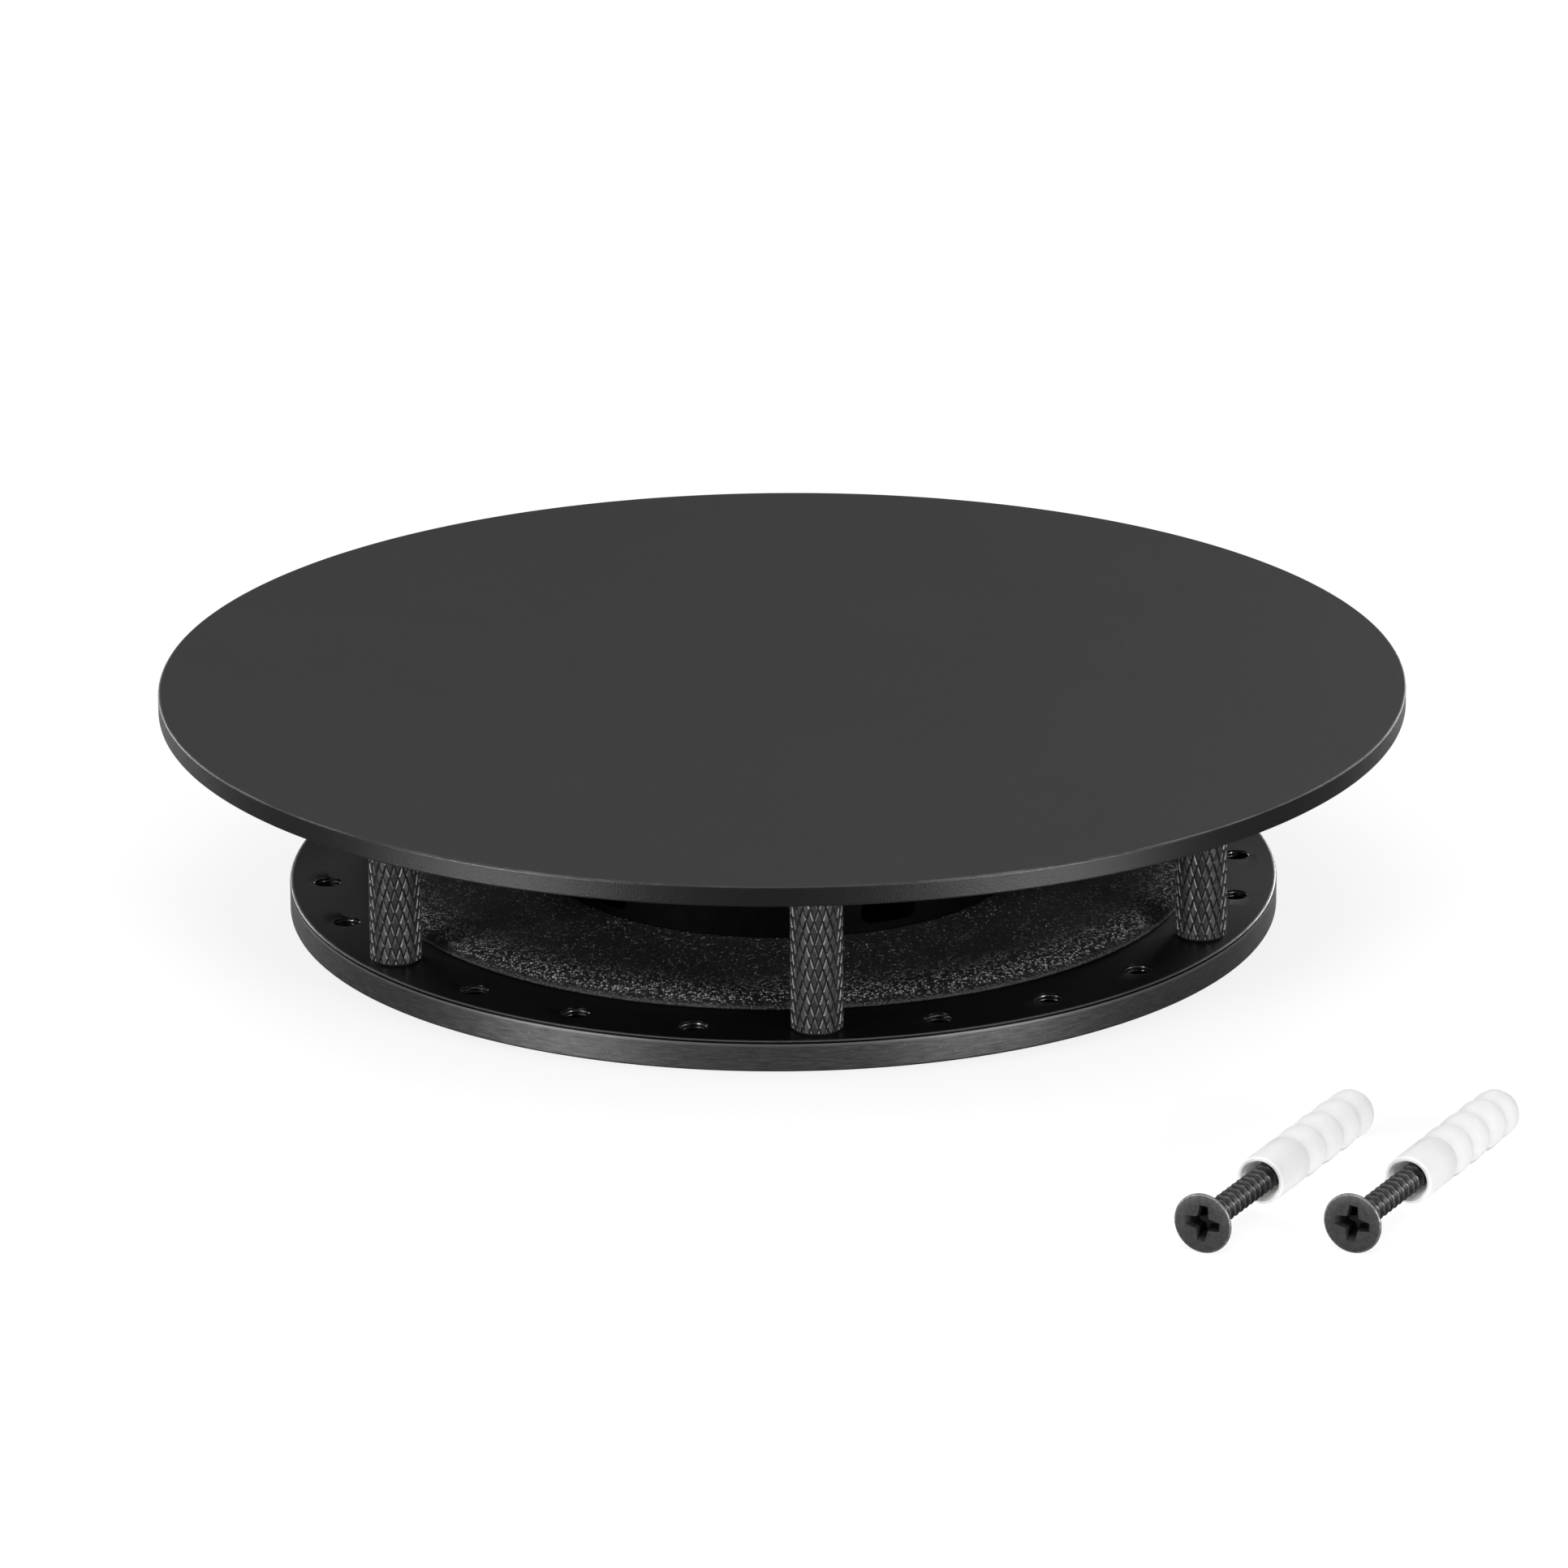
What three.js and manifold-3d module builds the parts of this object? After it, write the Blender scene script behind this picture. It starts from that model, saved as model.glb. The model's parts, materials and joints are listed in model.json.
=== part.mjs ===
// Banding wheel: a flat round wheel head on six pillars, standing on a drilled
// ring that turns on a thin ball bearing around a fixed base pan. Two wood
// screws with wall plugs, lying beside it, are its fixing kit.
// Units are millimetres. +Z is up, z = 0 is the bench, and the origin is on the
// wheel's axis. -Y is the front, where the first pillar stands.
import * as THREE from 'three';
import { mergeVertices } from 'three/addons/utils/BufferGeometryUtils.js';
import Module from 'manifold-3d';

const wasm = await Module();
wasm.setup();

// ---------------------------------------------------------------- dimensions
// In these names _R is a radius and _Z a height above the bench.
const SEGMENTS = 60; // facets round the large pieces
const OVERRUN = 1; // how far a cutter reaches past the face it opens

// wheel disc
const DISC_R = 100;
const DISC_THICKNESS = 3.2;
const DISC_TOP = 39;
const DISC_BOTTOM = DISC_TOP - DISC_THICKNESS;
const DISC_BEVEL = 0.3;

// ball bearing
const BALL_R = 1.5875;
const BALL_COUNT = 16;
const BALL_PITCH_R = 57;
const BALL_Z = 4.1;
const BALL_DETAIL = 1; // icosahedron subdivision
const GROOVE_R = 1.69;
const GROOVE_STEPS = 5;
const SHOULDER_OFFSET = 0.75; // from the ball pitch circle to either race
const RACE_HALF_HEIGHT = 1.8;
const RACE_BOTTOM = BALL_Z - RACE_HALF_HEIGHT;
const RACE_TOP = BALL_Z + RACE_HALF_HEIGHT;
const INNER_RACE_BORE_R = 52.45;
const OUTER_RACE_R = 61.45;
const CAGE_HALF_WALL = 0.5;
const CAGE_HALF_HEIGHT = 2.2;
const CAGE_POCKET_R = 1.85;
const CAGE_POCKET_REACH = 2; // cutter length either side of the pitch circle
const CAGE_POCKET_SEGMENTS = 8;

// spring clips under the races
const CLIP_BOTTOM = 1.95;
const CLIP_TOP = 2.25;
const INNER_CLIP = { inner: 51.6, outer: 53.6 }; // radii
const OUTER_CLIP = { inner: 60.3, outer: 62.2 };
const CLIP_CLEARANCE = 0.15; // between a clip and its groove
const CLIP_GAP = 7; // opening of each clip, measured across its ends
const CLIP_CUTTER_DEPTH = 12; // along Y
const CLIP_CUTTER_HEIGHT = 4;

// pillar ring
const RING_R = 79.65;
const RING_BOTTOM = 1.5;
const RING_TOP = 6.5;
const RING_BEVEL = 0.4;
const RING_BORE_R = 61.55;
const RING_LIP_BORE_R = 60.2;
const RING_LIP_Z = 5.95; // underside of the lip over the outer race
const HOLE_COUNT = 24;
const HOLE_R = 2.15;
const HOLE_PITCH_R = 73.6;
const HOLE_SEGMENTS = 10;

// pillars and their studs
const PILLAR_COUNT = 6;
const PILLAR_R = 4.1;
const PILLAR_CHAMFER = 0.45;
const PILLAR_BORE_R = 2.2;
const PILLAR_BORE_DEPTH = 9;
const PILLAR_SEGMENTS = 16;
const STUD_R = 2;
const STUD_CHAMFER = 0.3;
const STUD_SEGMENTS = 8;
const RING_STUD_BOTTOM = 1.9;
const RING_STUD_TOP = 14.6;
const DISC_STUD_LENGTH = 8;

// base pan
const PAN_R = 66.3;
const PAN_TOP = 8.6;
const PAN_UNDERSIDE = 6.7;
const PAN_BOTTOM = 1.2;
const PAN_SLOPE_WIDTH = 6; // the top rolls down to the edge over this width
const PAN_SLOPE_DROP = 1.6;
const PAN_SLOPE_STEPS = 5;
const PAN_EDGE_BEVEL = 0.15;
const SKIRT_R = 52.3;
const POCKET_OUTER_R = 46.5; // ring-shaped pocket open to below
const POCKET_INNER_R = 39.2;
const WELL_R = 36.2;
const WELL_FLOOR = 3.7;
const SCREW_HOLE_X = 25; // either side of the axis
const SCREW_HOLE_R = 2.6;
const SCREW_SINK_R = 4.8;
const SCREW_SINK_DEPTH = 2.3;
const SCREW_HOLE_SEGMENTS = 24;

// centre cap on the pan
const CAP_R = 39;
const CAP_TOP = 17.2;
const CAP_ROUND = 1.2;
const CAP_ROUND_STEPS = 2;
const CAP_WALL = 2;
const CAP_SPIGOT_R = 35.9;
const CAP_SPIGOT_BOTTOM = 6.4;
const WINDOW_COUNT = 5;
const WINDOW_FIRST = 21.4; // degrees round from -Y towards +X
const WINDOW_WIDTH = 9.6;
const WINDOW_HEIGHT = 4;
const WINDOW_Z = 12.1; // mid height
const WINDOW_CORNER = 1.7;
const WINDOW_CORNER_STEPS = 1;
const WINDOW_CUTTER_START = 30; // distance from the axis
const WINDOW_CUTTER_DEPTH = 12;

// foot pad
const PAD_R = 52;
const PAD_HOLE_R = 2.8;
const PAD_HOLE_SEGMENTS = 16;

// fixing kit; heights are measured along a screw from its head's top face
const KIT_ANGLE = 58.3; // direction of both screws on the bench, from +X
const KIT_HEADS = [[50.5, -155.3], [72.35, -157.2]]; // x, y of each head
const KIT_SEGMENTS = 24;
const SCREW_HEAD_R = 4.6;
const SCREW_HEAD_RIM = 0.35;
const SCREW_HEAD_DEPTH = 2.85;
const SCREW_R = 2.1;
const SCREW_LENGTH = 40;
const SCREW_TIP_LENGTH = 5;
const SCREW_TIP_R = 0.25;
const RECESS_WIDTH = 1.3;
const RECESS_SPAN = 5.8;
const RECESS_DEPTH = 1.7;
const RECESS_ANGLES = [4, 94]; // degrees
const PLUG_R = 3.85;
const PLUG_BORE_R = 2.55;
const PLUG_LEAD_R = 3.15; // wider mouth that leads the screw in
const PLUG_LEAD_DEPTH = 2;
const PLUG_MOUTH = 19.9;
const PLUG_LENGTH = 34.2;
const PLUG_END = PLUG_MOUTH + PLUG_LENGTH;
const PLUG_TAPER_LENGTH = 1;
const PLUG_TAPER_INSET = 0.7;
const SLIT_WIDTH = 0.8;
const SLIT_LENGTH = 20;
const SLIT_END_MARGIN = 4; // uncut length left at the far end
const SLIT_ANGLE = 45; // degrees

// ----------------------------------------------------------------- materials
const MATERIALS = {
  satinBlack: { color: 0x262627, roughness: 0.45, metalness: 0.6 },
  matteBlack: { color: 0x303031, roughness: 0.75, metalness: 0.2 },
  granularBlack: { color: 0x1c1c1d, roughness: 0.85, metalness: 0.1 },
  knurledBlack: { color: 0x3a3b3d, roughness: 0.4, metalness: 0.9 },
  blackSteel: { color: 0x2a2b2c, roughness: 0.4, metalness: 0.8 },
  bearingSteel: { color: 0xb9bcc0, roughness: 0.2, metalness: 1 },
  zincSteel: { color: 0x9a9da0, roughness: 0.35, metalness: 1 },
  cagePolymer: { color: 0x5b5f57, roughness: 0.6, metalness: 0 },
  footRubber: { color: 0x161616, roughness: 0.9, metalness: 0 },
  plugNylon: { color: 0xf2f2ef, roughness: 0.5, metalness: 0 },
};

// ------------------------------------------------------------------- helpers
const rad = THREE.MathUtils.degToRad;

// A closed geometry as a manifold solid, with its faces turned outwards.
function solid(geometry) {
  const bare = geometry.clone();
  bare.deleteAttribute('normal');
  bare.deleteAttribute('uv');
  const merged = mergeVertices(bare, 1e-4);
  const { position } = merged.attributes;
  const index = Array.from(merged.index.array);
  const triangles = [];
  let volume = 0; // six times the signed volume
  for (let i = 0; i < index.length; i += 3) {
    const corners = index.slice(i, i + 3);
    // merging flattens the triangles that touch the axis
    if (new Set(corners).size < 3) continue;
    triangles.push(...corners);
    const [first, second, third] = corners.map(
      (corner) => new THREE.Vector3().fromBufferAttribute(position, corner),
    );
    volume += first.dot(second.cross(third));
  }
  if (volume < 0) triangles.reverse();
  return new wasm.Manifold(new wasm.Mesh({
    numProp: 3,
    vertProperties: new Float32Array(position.array),
    triVerts: new Uint32Array(triangles),
  }));
}

// A manifold solid back as a geometry.
function geometryOf(manifold) {
  const { numProp, vertProperties, triVerts } = manifold.getMesh();
  const count = vertProperties.length / numProp;
  const positions = new Float32Array(count * 3);
  for (let i = 0; i < count; i++) {
    const start = i * numProp;
    positions.set(vertProperties.subarray(start, start + 3), i * 3);
  }
  const geometry = new THREE.BufferGeometry();
  geometry.setAttribute('position', new THREE.BufferAttribute(positions, 3));
  geometry.setIndex(new THREE.BufferAttribute(new Uint32Array(triVerts), 1));
  geometry.computeVertexNormals();
  return geometry;
}

// The body with every cutter taken out of it.
function cut(body, cutters) {
  return geometryOf(cutters.reduce((rest, cutter) => rest.subtract(solid(cutter)), solid(body)));
}

// A profile of [radius, height] points turned about +Z. A profile that does not
// both start and end on the axis is closed by repeating its first point.
function turned(points, segments = SEGMENTS) {
  const open = points[0][0] > 0 || points.at(-1)[0] > 0;
  const outline = open ? [...points, points[0]] : points;
  const profile = outline.map(([radius, z]) => new THREE.Vector2(radius, z));
  return new THREE.LatheGeometry(profile, segments).rotateX(Math.PI / 2);
}

function cylinder(radius, low, high, segments) {
  return turned([[0, low], [radius, low], [radius, high], [0, high]], segments);
}

// A cylinder bevelled at 45 degrees round both ends.
function bevelledCylinder(radius, low, high, bevel, segments) {
  return turned([
    [0, low], [radius - bevel, low], [radius, low + bevel],
    [radius, high - bevel], [radius - bevel, high], [0, high],
  ], segments);
}

function tube(inner, outer, low, high) {
  return turned([[inner, low], [outer, low], [outer, high], [inner, high]]);
}

// Profile points along an arc, from one angle in degrees to another.
function arc(centreR, centreZ, radius, from, to, steps) {
  return Array.from({ length: steps + 1 }, (_, i) => {
    const angle = rad(from + ((to - from) * i) / steps);
    return [centreR + radius * Math.cos(angle), centreZ + radius * Math.sin(angle)];
  });
}

// Evenly spaced angles, in degrees round from -Y towards +X.
function spacedAngles(count, first = 0) {
  return Array.from({ length: count }, (_, i) => first + (360 / count) * i);
}

// The [x, y] places of evenly spaced items on a circle, the first at -Y.
function spacedPlaces(count, radius) {
  return spacedAngles(count).map((angle) => [
    radius * Math.sin(rad(angle)),
    -radius * Math.cos(rad(angle)),
  ]);
}

// One cutter at each of the two screw holes.
function atScrewHoles(cutter) {
  return [-1, 1].map((side) => cutter.clone().translate(side * SCREW_HOLE_X, 0, 0));
}

// ------------------------------------------------------------ ring and pillars
function pillarRing() {
  const body = turned([
    [RING_BORE_R, RING_BOTTOM], [RING_R - RING_BEVEL, RING_BOTTOM],
    [RING_R, RING_BOTTOM + RING_BEVEL], [RING_R, RING_TOP - RING_BEVEL],
    [RING_R - RING_BEVEL, RING_TOP], [RING_LIP_BORE_R, RING_TOP],
    [RING_LIP_BORE_R, RING_LIP_Z], [RING_BORE_R, RING_LIP_Z],
  ]);
  const clipGroove = tube(
    RING_BORE_R - OVERRUN,
    OUTER_CLIP.outer + CLIP_CLEARANCE,
    CLIP_BOTTOM - CLIP_CLEARANCE,
    CLIP_TOP + CLIP_CLEARANCE,
  );
  const holes = spacedPlaces(HOLE_COUNT, HOLE_PITCH_R).map(([x, y]) => (
    cylinder(HOLE_R, RING_BOTTOM - OVERRUN, RING_TOP + OVERRUN, HOLE_SEGMENTS).translate(x, y, 0)
  ));
  return cut(body, [clipGroove, ...holes]);
}

// Drawn smooth, with a blind bore in each end.
function pillar() {
  const lowBoreEnd = RING_TOP + PILLAR_BORE_DEPTH;
  const highBoreEnd = DISC_BOTTOM - PILLAR_BORE_DEPTH;
  return turned([
    [0, lowBoreEnd], [PILLAR_BORE_R, lowBoreEnd], [PILLAR_BORE_R, RING_TOP],
    [PILLAR_R - PILLAR_CHAMFER, RING_TOP], [PILLAR_R, RING_TOP + PILLAR_CHAMFER],
    [PILLAR_R, DISC_BOTTOM - PILLAR_CHAMFER], [PILLAR_R - PILLAR_CHAMFER, DISC_BOTTOM],
    [PILLAR_BORE_R, DISC_BOTTOM], [PILLAR_BORE_R, highBoreEnd], [0, highBoreEnd],
  ], PILLAR_SEGMENTS);
}

// Hangs from the disc, bevelled at its lower end only.
function discStud() {
  const low = DISC_BOTTOM - DISC_STUD_LENGTH;
  return turned([
    [0, low], [STUD_R - STUD_CHAMFER, low], [STUD_R, low + STUD_CHAMFER],
    [STUD_R, DISC_BOTTOM], [0, DISC_BOTTOM],
  ], STUD_SEGMENTS);
}

// ------------------------------------------------------- pan, cap and foot pad
function basePan() {
  const slope = arc(0, 0, 1, 0, 90, PAN_SLOPE_STEPS).map(([across, up]) => [
    PAN_R - PAN_SLOPE_WIDTH + across * PAN_SLOPE_WIDTH,
    PAN_TOP - PAN_SLOPE_DROP + up * PAN_SLOPE_DROP,
  ]);
  const body = turned([
    [0, PAN_BOTTOM], [POCKET_INNER_R, PAN_BOTTOM], [POCKET_INNER_R, PAN_UNDERSIDE],
    [POCKET_OUTER_R, PAN_UNDERSIDE], [POCKET_OUTER_R, PAN_BOTTOM],
    [SKIRT_R, PAN_BOTTOM], [SKIRT_R, PAN_UNDERSIDE],
    [PAN_R - PAN_EDGE_BEVEL, PAN_UNDERSIDE], [PAN_R, PAN_UNDERSIDE + PAN_EDGE_BEVEL],
    ...slope,
    [WELL_R, PAN_TOP], [WELL_R, WELL_FLOOR], [0, WELL_FLOOR],
  ]);
  const clipGroove = tube(
    INNER_CLIP.inner - CLIP_CLEARANCE,
    SKIRT_R + OVERRUN,
    CLIP_BOTTOM - CLIP_CLEARANCE,
    CLIP_TOP + CLIP_CLEARANCE,
  );
  const countersunkHole = turned([
    [0, PAN_BOTTOM - OVERRUN], [SCREW_HOLE_R, PAN_BOTTOM - OVERRUN],
    [SCREW_HOLE_R, WELL_FLOOR - SCREW_SINK_DEPTH], [SCREW_SINK_R, WELL_FLOOR],
    [SCREW_SINK_R, WELL_FLOOR + OVERRUN], [0, WELL_FLOOR + OVERRUN],
  ], SCREW_HOLE_SEGMENTS);
  return cut(body, [clipGroove, ...atScrewHoles(countersunkHole)]);
}

// Cutter for one window at -Y: a rounded rectangle pushed through the wall.
function windowCutter() {
  const cornerX = WINDOW_WIDTH / 2 - WINDOW_CORNER;
  const cornerZ = WINDOW_HEIGHT / 2 - WINDOW_CORNER;
  const shape = new THREE.Shape();
  // corners counterclockwise from the lower right; straight sides join them
  [[1, -1], [1, 1], [-1, 1], [-1, -1]].forEach(([sideX, sideZ], i) => {
    const start = ((i - 1) * Math.PI) / 2;
    const x = sideX * cornerX;
    const z = WINDOW_Z + sideZ * cornerZ;
    shape.absarc(x, z, WINDOW_CORNER, start, start + Math.PI / 2, false);
  });
  return new THREE.ExtrudeGeometry(shape, {
    depth: WINDOW_CUTTER_DEPTH,
    bevelEnabled: false,
    curveSegments: WINDOW_CORNER_STEPS,
  })
    .rotateX(Math.PI / 2) // the shape's height becomes +Z, its depth runs towards -Y
    .translate(0, -WINDOW_CUTTER_START, 0);
}

function centreCap() {
  const boreR = CAP_SPIGOT_R - CAP_WALL;
  const body = turned([
    [boreR, CAP_SPIGOT_BOTTOM], [CAP_SPIGOT_R, CAP_SPIGOT_BOTTOM], [CAP_SPIGOT_R, PAN_TOP],
    [CAP_R, PAN_TOP],
    ...arc(CAP_R - CAP_ROUND, CAP_TOP - CAP_ROUND, CAP_ROUND, 0, 90, CAP_ROUND_STEPS),
    [0, CAP_TOP], [0, CAP_TOP - CAP_WALL], [boreR, CAP_TOP - CAP_WALL],
  ]);
  const windows = spacedAngles(WINDOW_COUNT, WINDOW_FIRST)
    .map((angle) => windowCutter().rotateZ(rad(angle)));
  return cut(body, windows);
}

function footPad() {
  const hole = cylinder(PAD_HOLE_R, -OVERRUN, PAN_BOTTOM + OVERRUN, PAD_HOLE_SEGMENTS);
  return cut(cylinder(PAD_R, 0, PAN_BOTTOM, SEGMENTS), atScrewHoles(hole));
}

// -------------------------------------------------------------- ball bearing
// Half the angle of each groove that its shoulders leave open, in degrees.
const GROOVE_HALF_ANGLE = THREE.MathUtils.radToDeg(Math.acos(SHOULDER_OFFSET / GROOVE_R));

function groove(from, to) {
  return arc(BALL_PITCH_R, BALL_Z, GROOVE_R, from, to, GROOVE_STEPS);
}

function innerRace() {
  const shoulder = BALL_PITCH_R - SHOULDER_OFFSET;
  return turned([
    [INNER_RACE_BORE_R, RACE_BOTTOM], [shoulder, RACE_BOTTOM],
    ...groove(180 + GROOVE_HALF_ANGLE, 180 - GROOVE_HALF_ANGLE),
    [shoulder, RACE_TOP], [INNER_RACE_BORE_R, RACE_TOP],
  ]);
}

function outerRace() {
  const shoulder = BALL_PITCH_R + SHOULDER_OFFSET;
  return turned([
    [shoulder, RACE_BOTTOM], [OUTER_RACE_R, RACE_BOTTOM],
    [OUTER_RACE_R, RACE_TOP], [shoulder, RACE_TOP],
    ...groove(GROOVE_HALF_ANGLE, -GROOVE_HALF_ANGLE),
  ]);
}

function ballCage() {
  const body = tube(
    BALL_PITCH_R - CAGE_HALF_WALL,
    BALL_PITCH_R + CAGE_HALF_WALL,
    BALL_Z - CAGE_HALF_HEIGHT,
    BALL_Z + CAGE_HALF_HEIGHT,
  );
  const start = BALL_PITCH_R - CAGE_POCKET_REACH;
  const end = BALL_PITCH_R + CAGE_POCKET_REACH;
  const pockets = spacedAngles(BALL_COUNT).map((angle) => (
    cylinder(CAGE_POCKET_R, start, end, CAGE_POCKET_SEGMENTS)
      .rotateX(Math.PI / 2) // now points towards -Y
      .translate(0, 0, BALL_Z)
      .rotateZ(rad(angle))
  ));
  return cut(body, pockets);
}

// An open spring clip with its gap at +Y.
function clip({ inner, outer }) {
  const gap = new THREE.BoxGeometry(CLIP_GAP, CLIP_CUTTER_DEPTH, CLIP_CUTTER_HEIGHT)
    .translate(0, (inner + outer) / 2, (CLIP_BOTTOM + CLIP_TOP) / 2);
  return cut(tube(inner, outer, CLIP_BOTTOM, CLIP_TOP), [gap]);
}

// ---------------------------------------------------------------- fixing kit
// Built along +Z from the head's top face at 0.
function fixingScrew() {
  const body = turned([
    [0, 0], [SCREW_HEAD_R, 0], [SCREW_HEAD_R, SCREW_HEAD_RIM], [SCREW_R, SCREW_HEAD_DEPTH],
    [SCREW_R, SCREW_LENGTH - SCREW_TIP_LENGTH], [SCREW_TIP_R, SCREW_LENGTH], [0, SCREW_LENGTH],
  ], KIT_SEGMENTS);
  // cross recess; half of each box stands clear of the head
  const slots = RECESS_ANGLES.map((angle) => (
    new THREE.BoxGeometry(RECESS_SPAN, RECESS_WIDTH, RECESS_DEPTH * 2).rotateZ(rad(angle))
  ));
  return cut(body, slots);
}

function wallPlug() {
  const body = turned([
    [PLUG_BORE_R, PLUG_MOUTH + PLUG_LEAD_DEPTH], [PLUG_LEAD_R, PLUG_MOUTH],
    [PLUG_R, PLUG_MOUTH], [PLUG_R, PLUG_END - PLUG_TAPER_LENGTH],
    [PLUG_R - PLUG_TAPER_INSET, PLUG_END], [PLUG_BORE_R, PLUG_END],
  ], KIT_SEGMENTS);
  // one slit through both walls, stopping short of the far end
  const slit = new THREE.BoxGeometry(SLIT_WIDTH, PLUG_R * 3, SLIT_LENGTH)
    .translate(0, 0, PLUG_END - SLIT_END_MARGIN - SLIT_LENGTH / 2)
    .rotateZ(rad(SLIT_ANGLE));
  return cut(body, [slit]);
}

// ------------------------------------------------------------------ assembly
const group = new THREE.Group();

function add(name, geometry, material, parent = group) {
  const mesh = new THREE.Mesh(geometry, new THREE.MeshStandardMaterial(MATERIALS[material]));
  mesh.name = name;
  parent.add(mesh);
  return mesh;
}

add('wheel_disc', bevelledCylinder(DISC_R, DISC_BOTTOM, DISC_TOP, DISC_BEVEL), 'matteBlack');
add('pillar_ring', pillarRing(), 'satinBlack');

spacedPlaces(PILLAR_COUNT, HOLE_PITCH_R).forEach(([x, y], i) => {
  const ringStud = bevelledCylinder(
    STUD_R, RING_STUD_BOTTOM, RING_STUD_TOP, STUD_CHAMFER, STUD_SEGMENTS,
  );
  add(`pillar_${i + 1}`, pillar(), 'knurledBlack').position.set(x, y, 0);
  add(`ring_stud_${i + 1}`, ringStud, 'zincSteel').position.set(x, y, 0);
  add(`disc_stud_${i + 1}`, discStud(), 'zincSteel').position.set(x, y, 0);
});

add('base_pan', basePan(), 'granularBlack');
add('centre_cap', centreCap(), 'satinBlack');
add('foot_pad', footPad(), 'footRubber');

add('inner_race', innerRace(), 'bearingSteel');
add('outer_race', outerRace(), 'bearingSteel');
add('ball_cage', ballCage(), 'cagePolymer');
spacedPlaces(BALL_COUNT, BALL_PITCH_R).forEach(([x, y], i) => {
  const ball = new THREE.IcosahedronGeometry(BALL_R, BALL_DETAIL);
  const name = `ball_${String(i + 1).padStart(2, '0')}`;
  add(name, ball, 'bearingSteel').position.set(x, y, BALL_Z);
});
add('inner_race_clip', clip(INNER_CLIP), 'blackSteel');
add('outer_race_clip', clip(OUTER_CLIP), 'blackSteel');

// Each screw and plug lie together: the head rests on its rim, the plug on its
// far end.
const kitTilt = Math.asin((SCREW_HEAD_R - PLUG_R) / PLUG_END);
KIT_HEADS.forEach(([x, y], i) => {
  const kit = new THREE.Group();
  kit.position.set(x, y, SCREW_HEAD_R * Math.cos(kitTilt));
  kit.rotation.set(0, Math.PI / 2 + kitTilt, rad(KIT_ANGLE), 'ZYX');
  add(`fixing_screw_${i + 1}`, fixingScrew(), 'blackSteel', kit);
  add(`wall_plug_${i + 1}`, wallPlug(), 'plugNylon', kit);
  group.add(kit);
});

export default group;
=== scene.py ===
# A wheel head (a disc on six knurled pillars, standing on a drilled ring) that turns on a ball
# race over a low base pan, with two screws in wall plugs lying beside it.
# The wheel's axis is Z through the origin, the floor is z = 0 and the camera stands on the -Y
# side. The screws lie on the floor on that side, at +X, with their heads nearest the camera.
import json
import math
from functools import cached_property

import bmesh
import bpy
import numpy as np
from mathutils import Matrix, Vector, noise

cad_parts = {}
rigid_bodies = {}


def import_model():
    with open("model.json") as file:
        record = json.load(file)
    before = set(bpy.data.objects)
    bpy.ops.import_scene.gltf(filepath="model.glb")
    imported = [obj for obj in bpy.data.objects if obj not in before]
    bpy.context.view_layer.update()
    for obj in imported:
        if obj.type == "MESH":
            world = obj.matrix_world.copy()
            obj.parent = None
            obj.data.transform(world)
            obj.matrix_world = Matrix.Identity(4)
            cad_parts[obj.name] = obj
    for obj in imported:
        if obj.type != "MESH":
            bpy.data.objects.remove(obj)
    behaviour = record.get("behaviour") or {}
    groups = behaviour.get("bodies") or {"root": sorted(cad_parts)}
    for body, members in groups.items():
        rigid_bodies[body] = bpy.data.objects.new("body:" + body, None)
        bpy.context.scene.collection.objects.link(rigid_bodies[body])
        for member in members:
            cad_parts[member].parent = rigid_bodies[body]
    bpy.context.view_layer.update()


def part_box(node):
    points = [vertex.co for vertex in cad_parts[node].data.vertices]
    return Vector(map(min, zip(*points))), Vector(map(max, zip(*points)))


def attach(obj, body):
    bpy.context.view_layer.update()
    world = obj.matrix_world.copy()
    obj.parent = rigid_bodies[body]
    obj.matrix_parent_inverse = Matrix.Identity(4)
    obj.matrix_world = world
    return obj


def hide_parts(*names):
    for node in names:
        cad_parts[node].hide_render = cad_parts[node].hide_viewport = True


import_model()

MM = 0.001
TAU = math.tau

# ------------------------------------------------------------ sizes in mm, many from the CAD boxes


def mm_box(node):
    low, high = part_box(node)
    return low / MM, high / MM


def radius_low_top(node):
    low, high = mm_box(node)
    return high.x, low.z, high.z


DISC_RADIUS, DISC_LOW, DISC_TOP = radius_low_top("wheel_disc")
RING_RADIUS, RING_LOW, RING_TOP = radius_low_top("pillar_ring")
PAN_RADIUS, PAN_LOW, PAN_TOP = radius_low_top("base_pan")
CAP_RADIUS, CAP_LOW, CAP_TOP = radius_low_top("centre_cap")

pillar_low, pillar_high = mm_box("pillar_1")
HOLE_PITCH_RADIUS = -(pillar_low.y + pillar_high.y) / 2
SIDE_HOLE_X = 25  # two holes through the pan and the foot pad, at +X and -X

BALL_COUNT = 16
BALL_PITCH_RADIUS = 57.0
BALL_RADIUS = 1.5875
ball_low, ball_high = mm_box("ball_01")
BALL_Z = (ball_low.z + ball_high.z) / 2
clip_low, clip_high = mm_box("inner_race_clip")
CLIP_LOW, CLIP_HIGH = clip_low.z, clip_high.z

# ------------------------------------------------------------ mesh helpers


def make(name, verts, faces, sharp=32.0, wear=None):
    """A mesh object from points in mm, with an optional value for each point that marks wear and
    painted light.
    """
    mesh = bpy.data.meshes.new(name)
    mesh.from_pydata([tuple(c * MM for c in v) for v in verts], [], faces)
    obj = bpy.data.objects.new(name, mesh)
    bpy.context.scene.collection.objects.link(obj)
    if wear is not None:
        attribute = mesh.attributes.new("wear", "FLOAT", "POINT")
        attribute.data.foreach_set("value", np.asarray(wear, np.float32))
    tidy(obj, sharp)
    return obj


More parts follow.
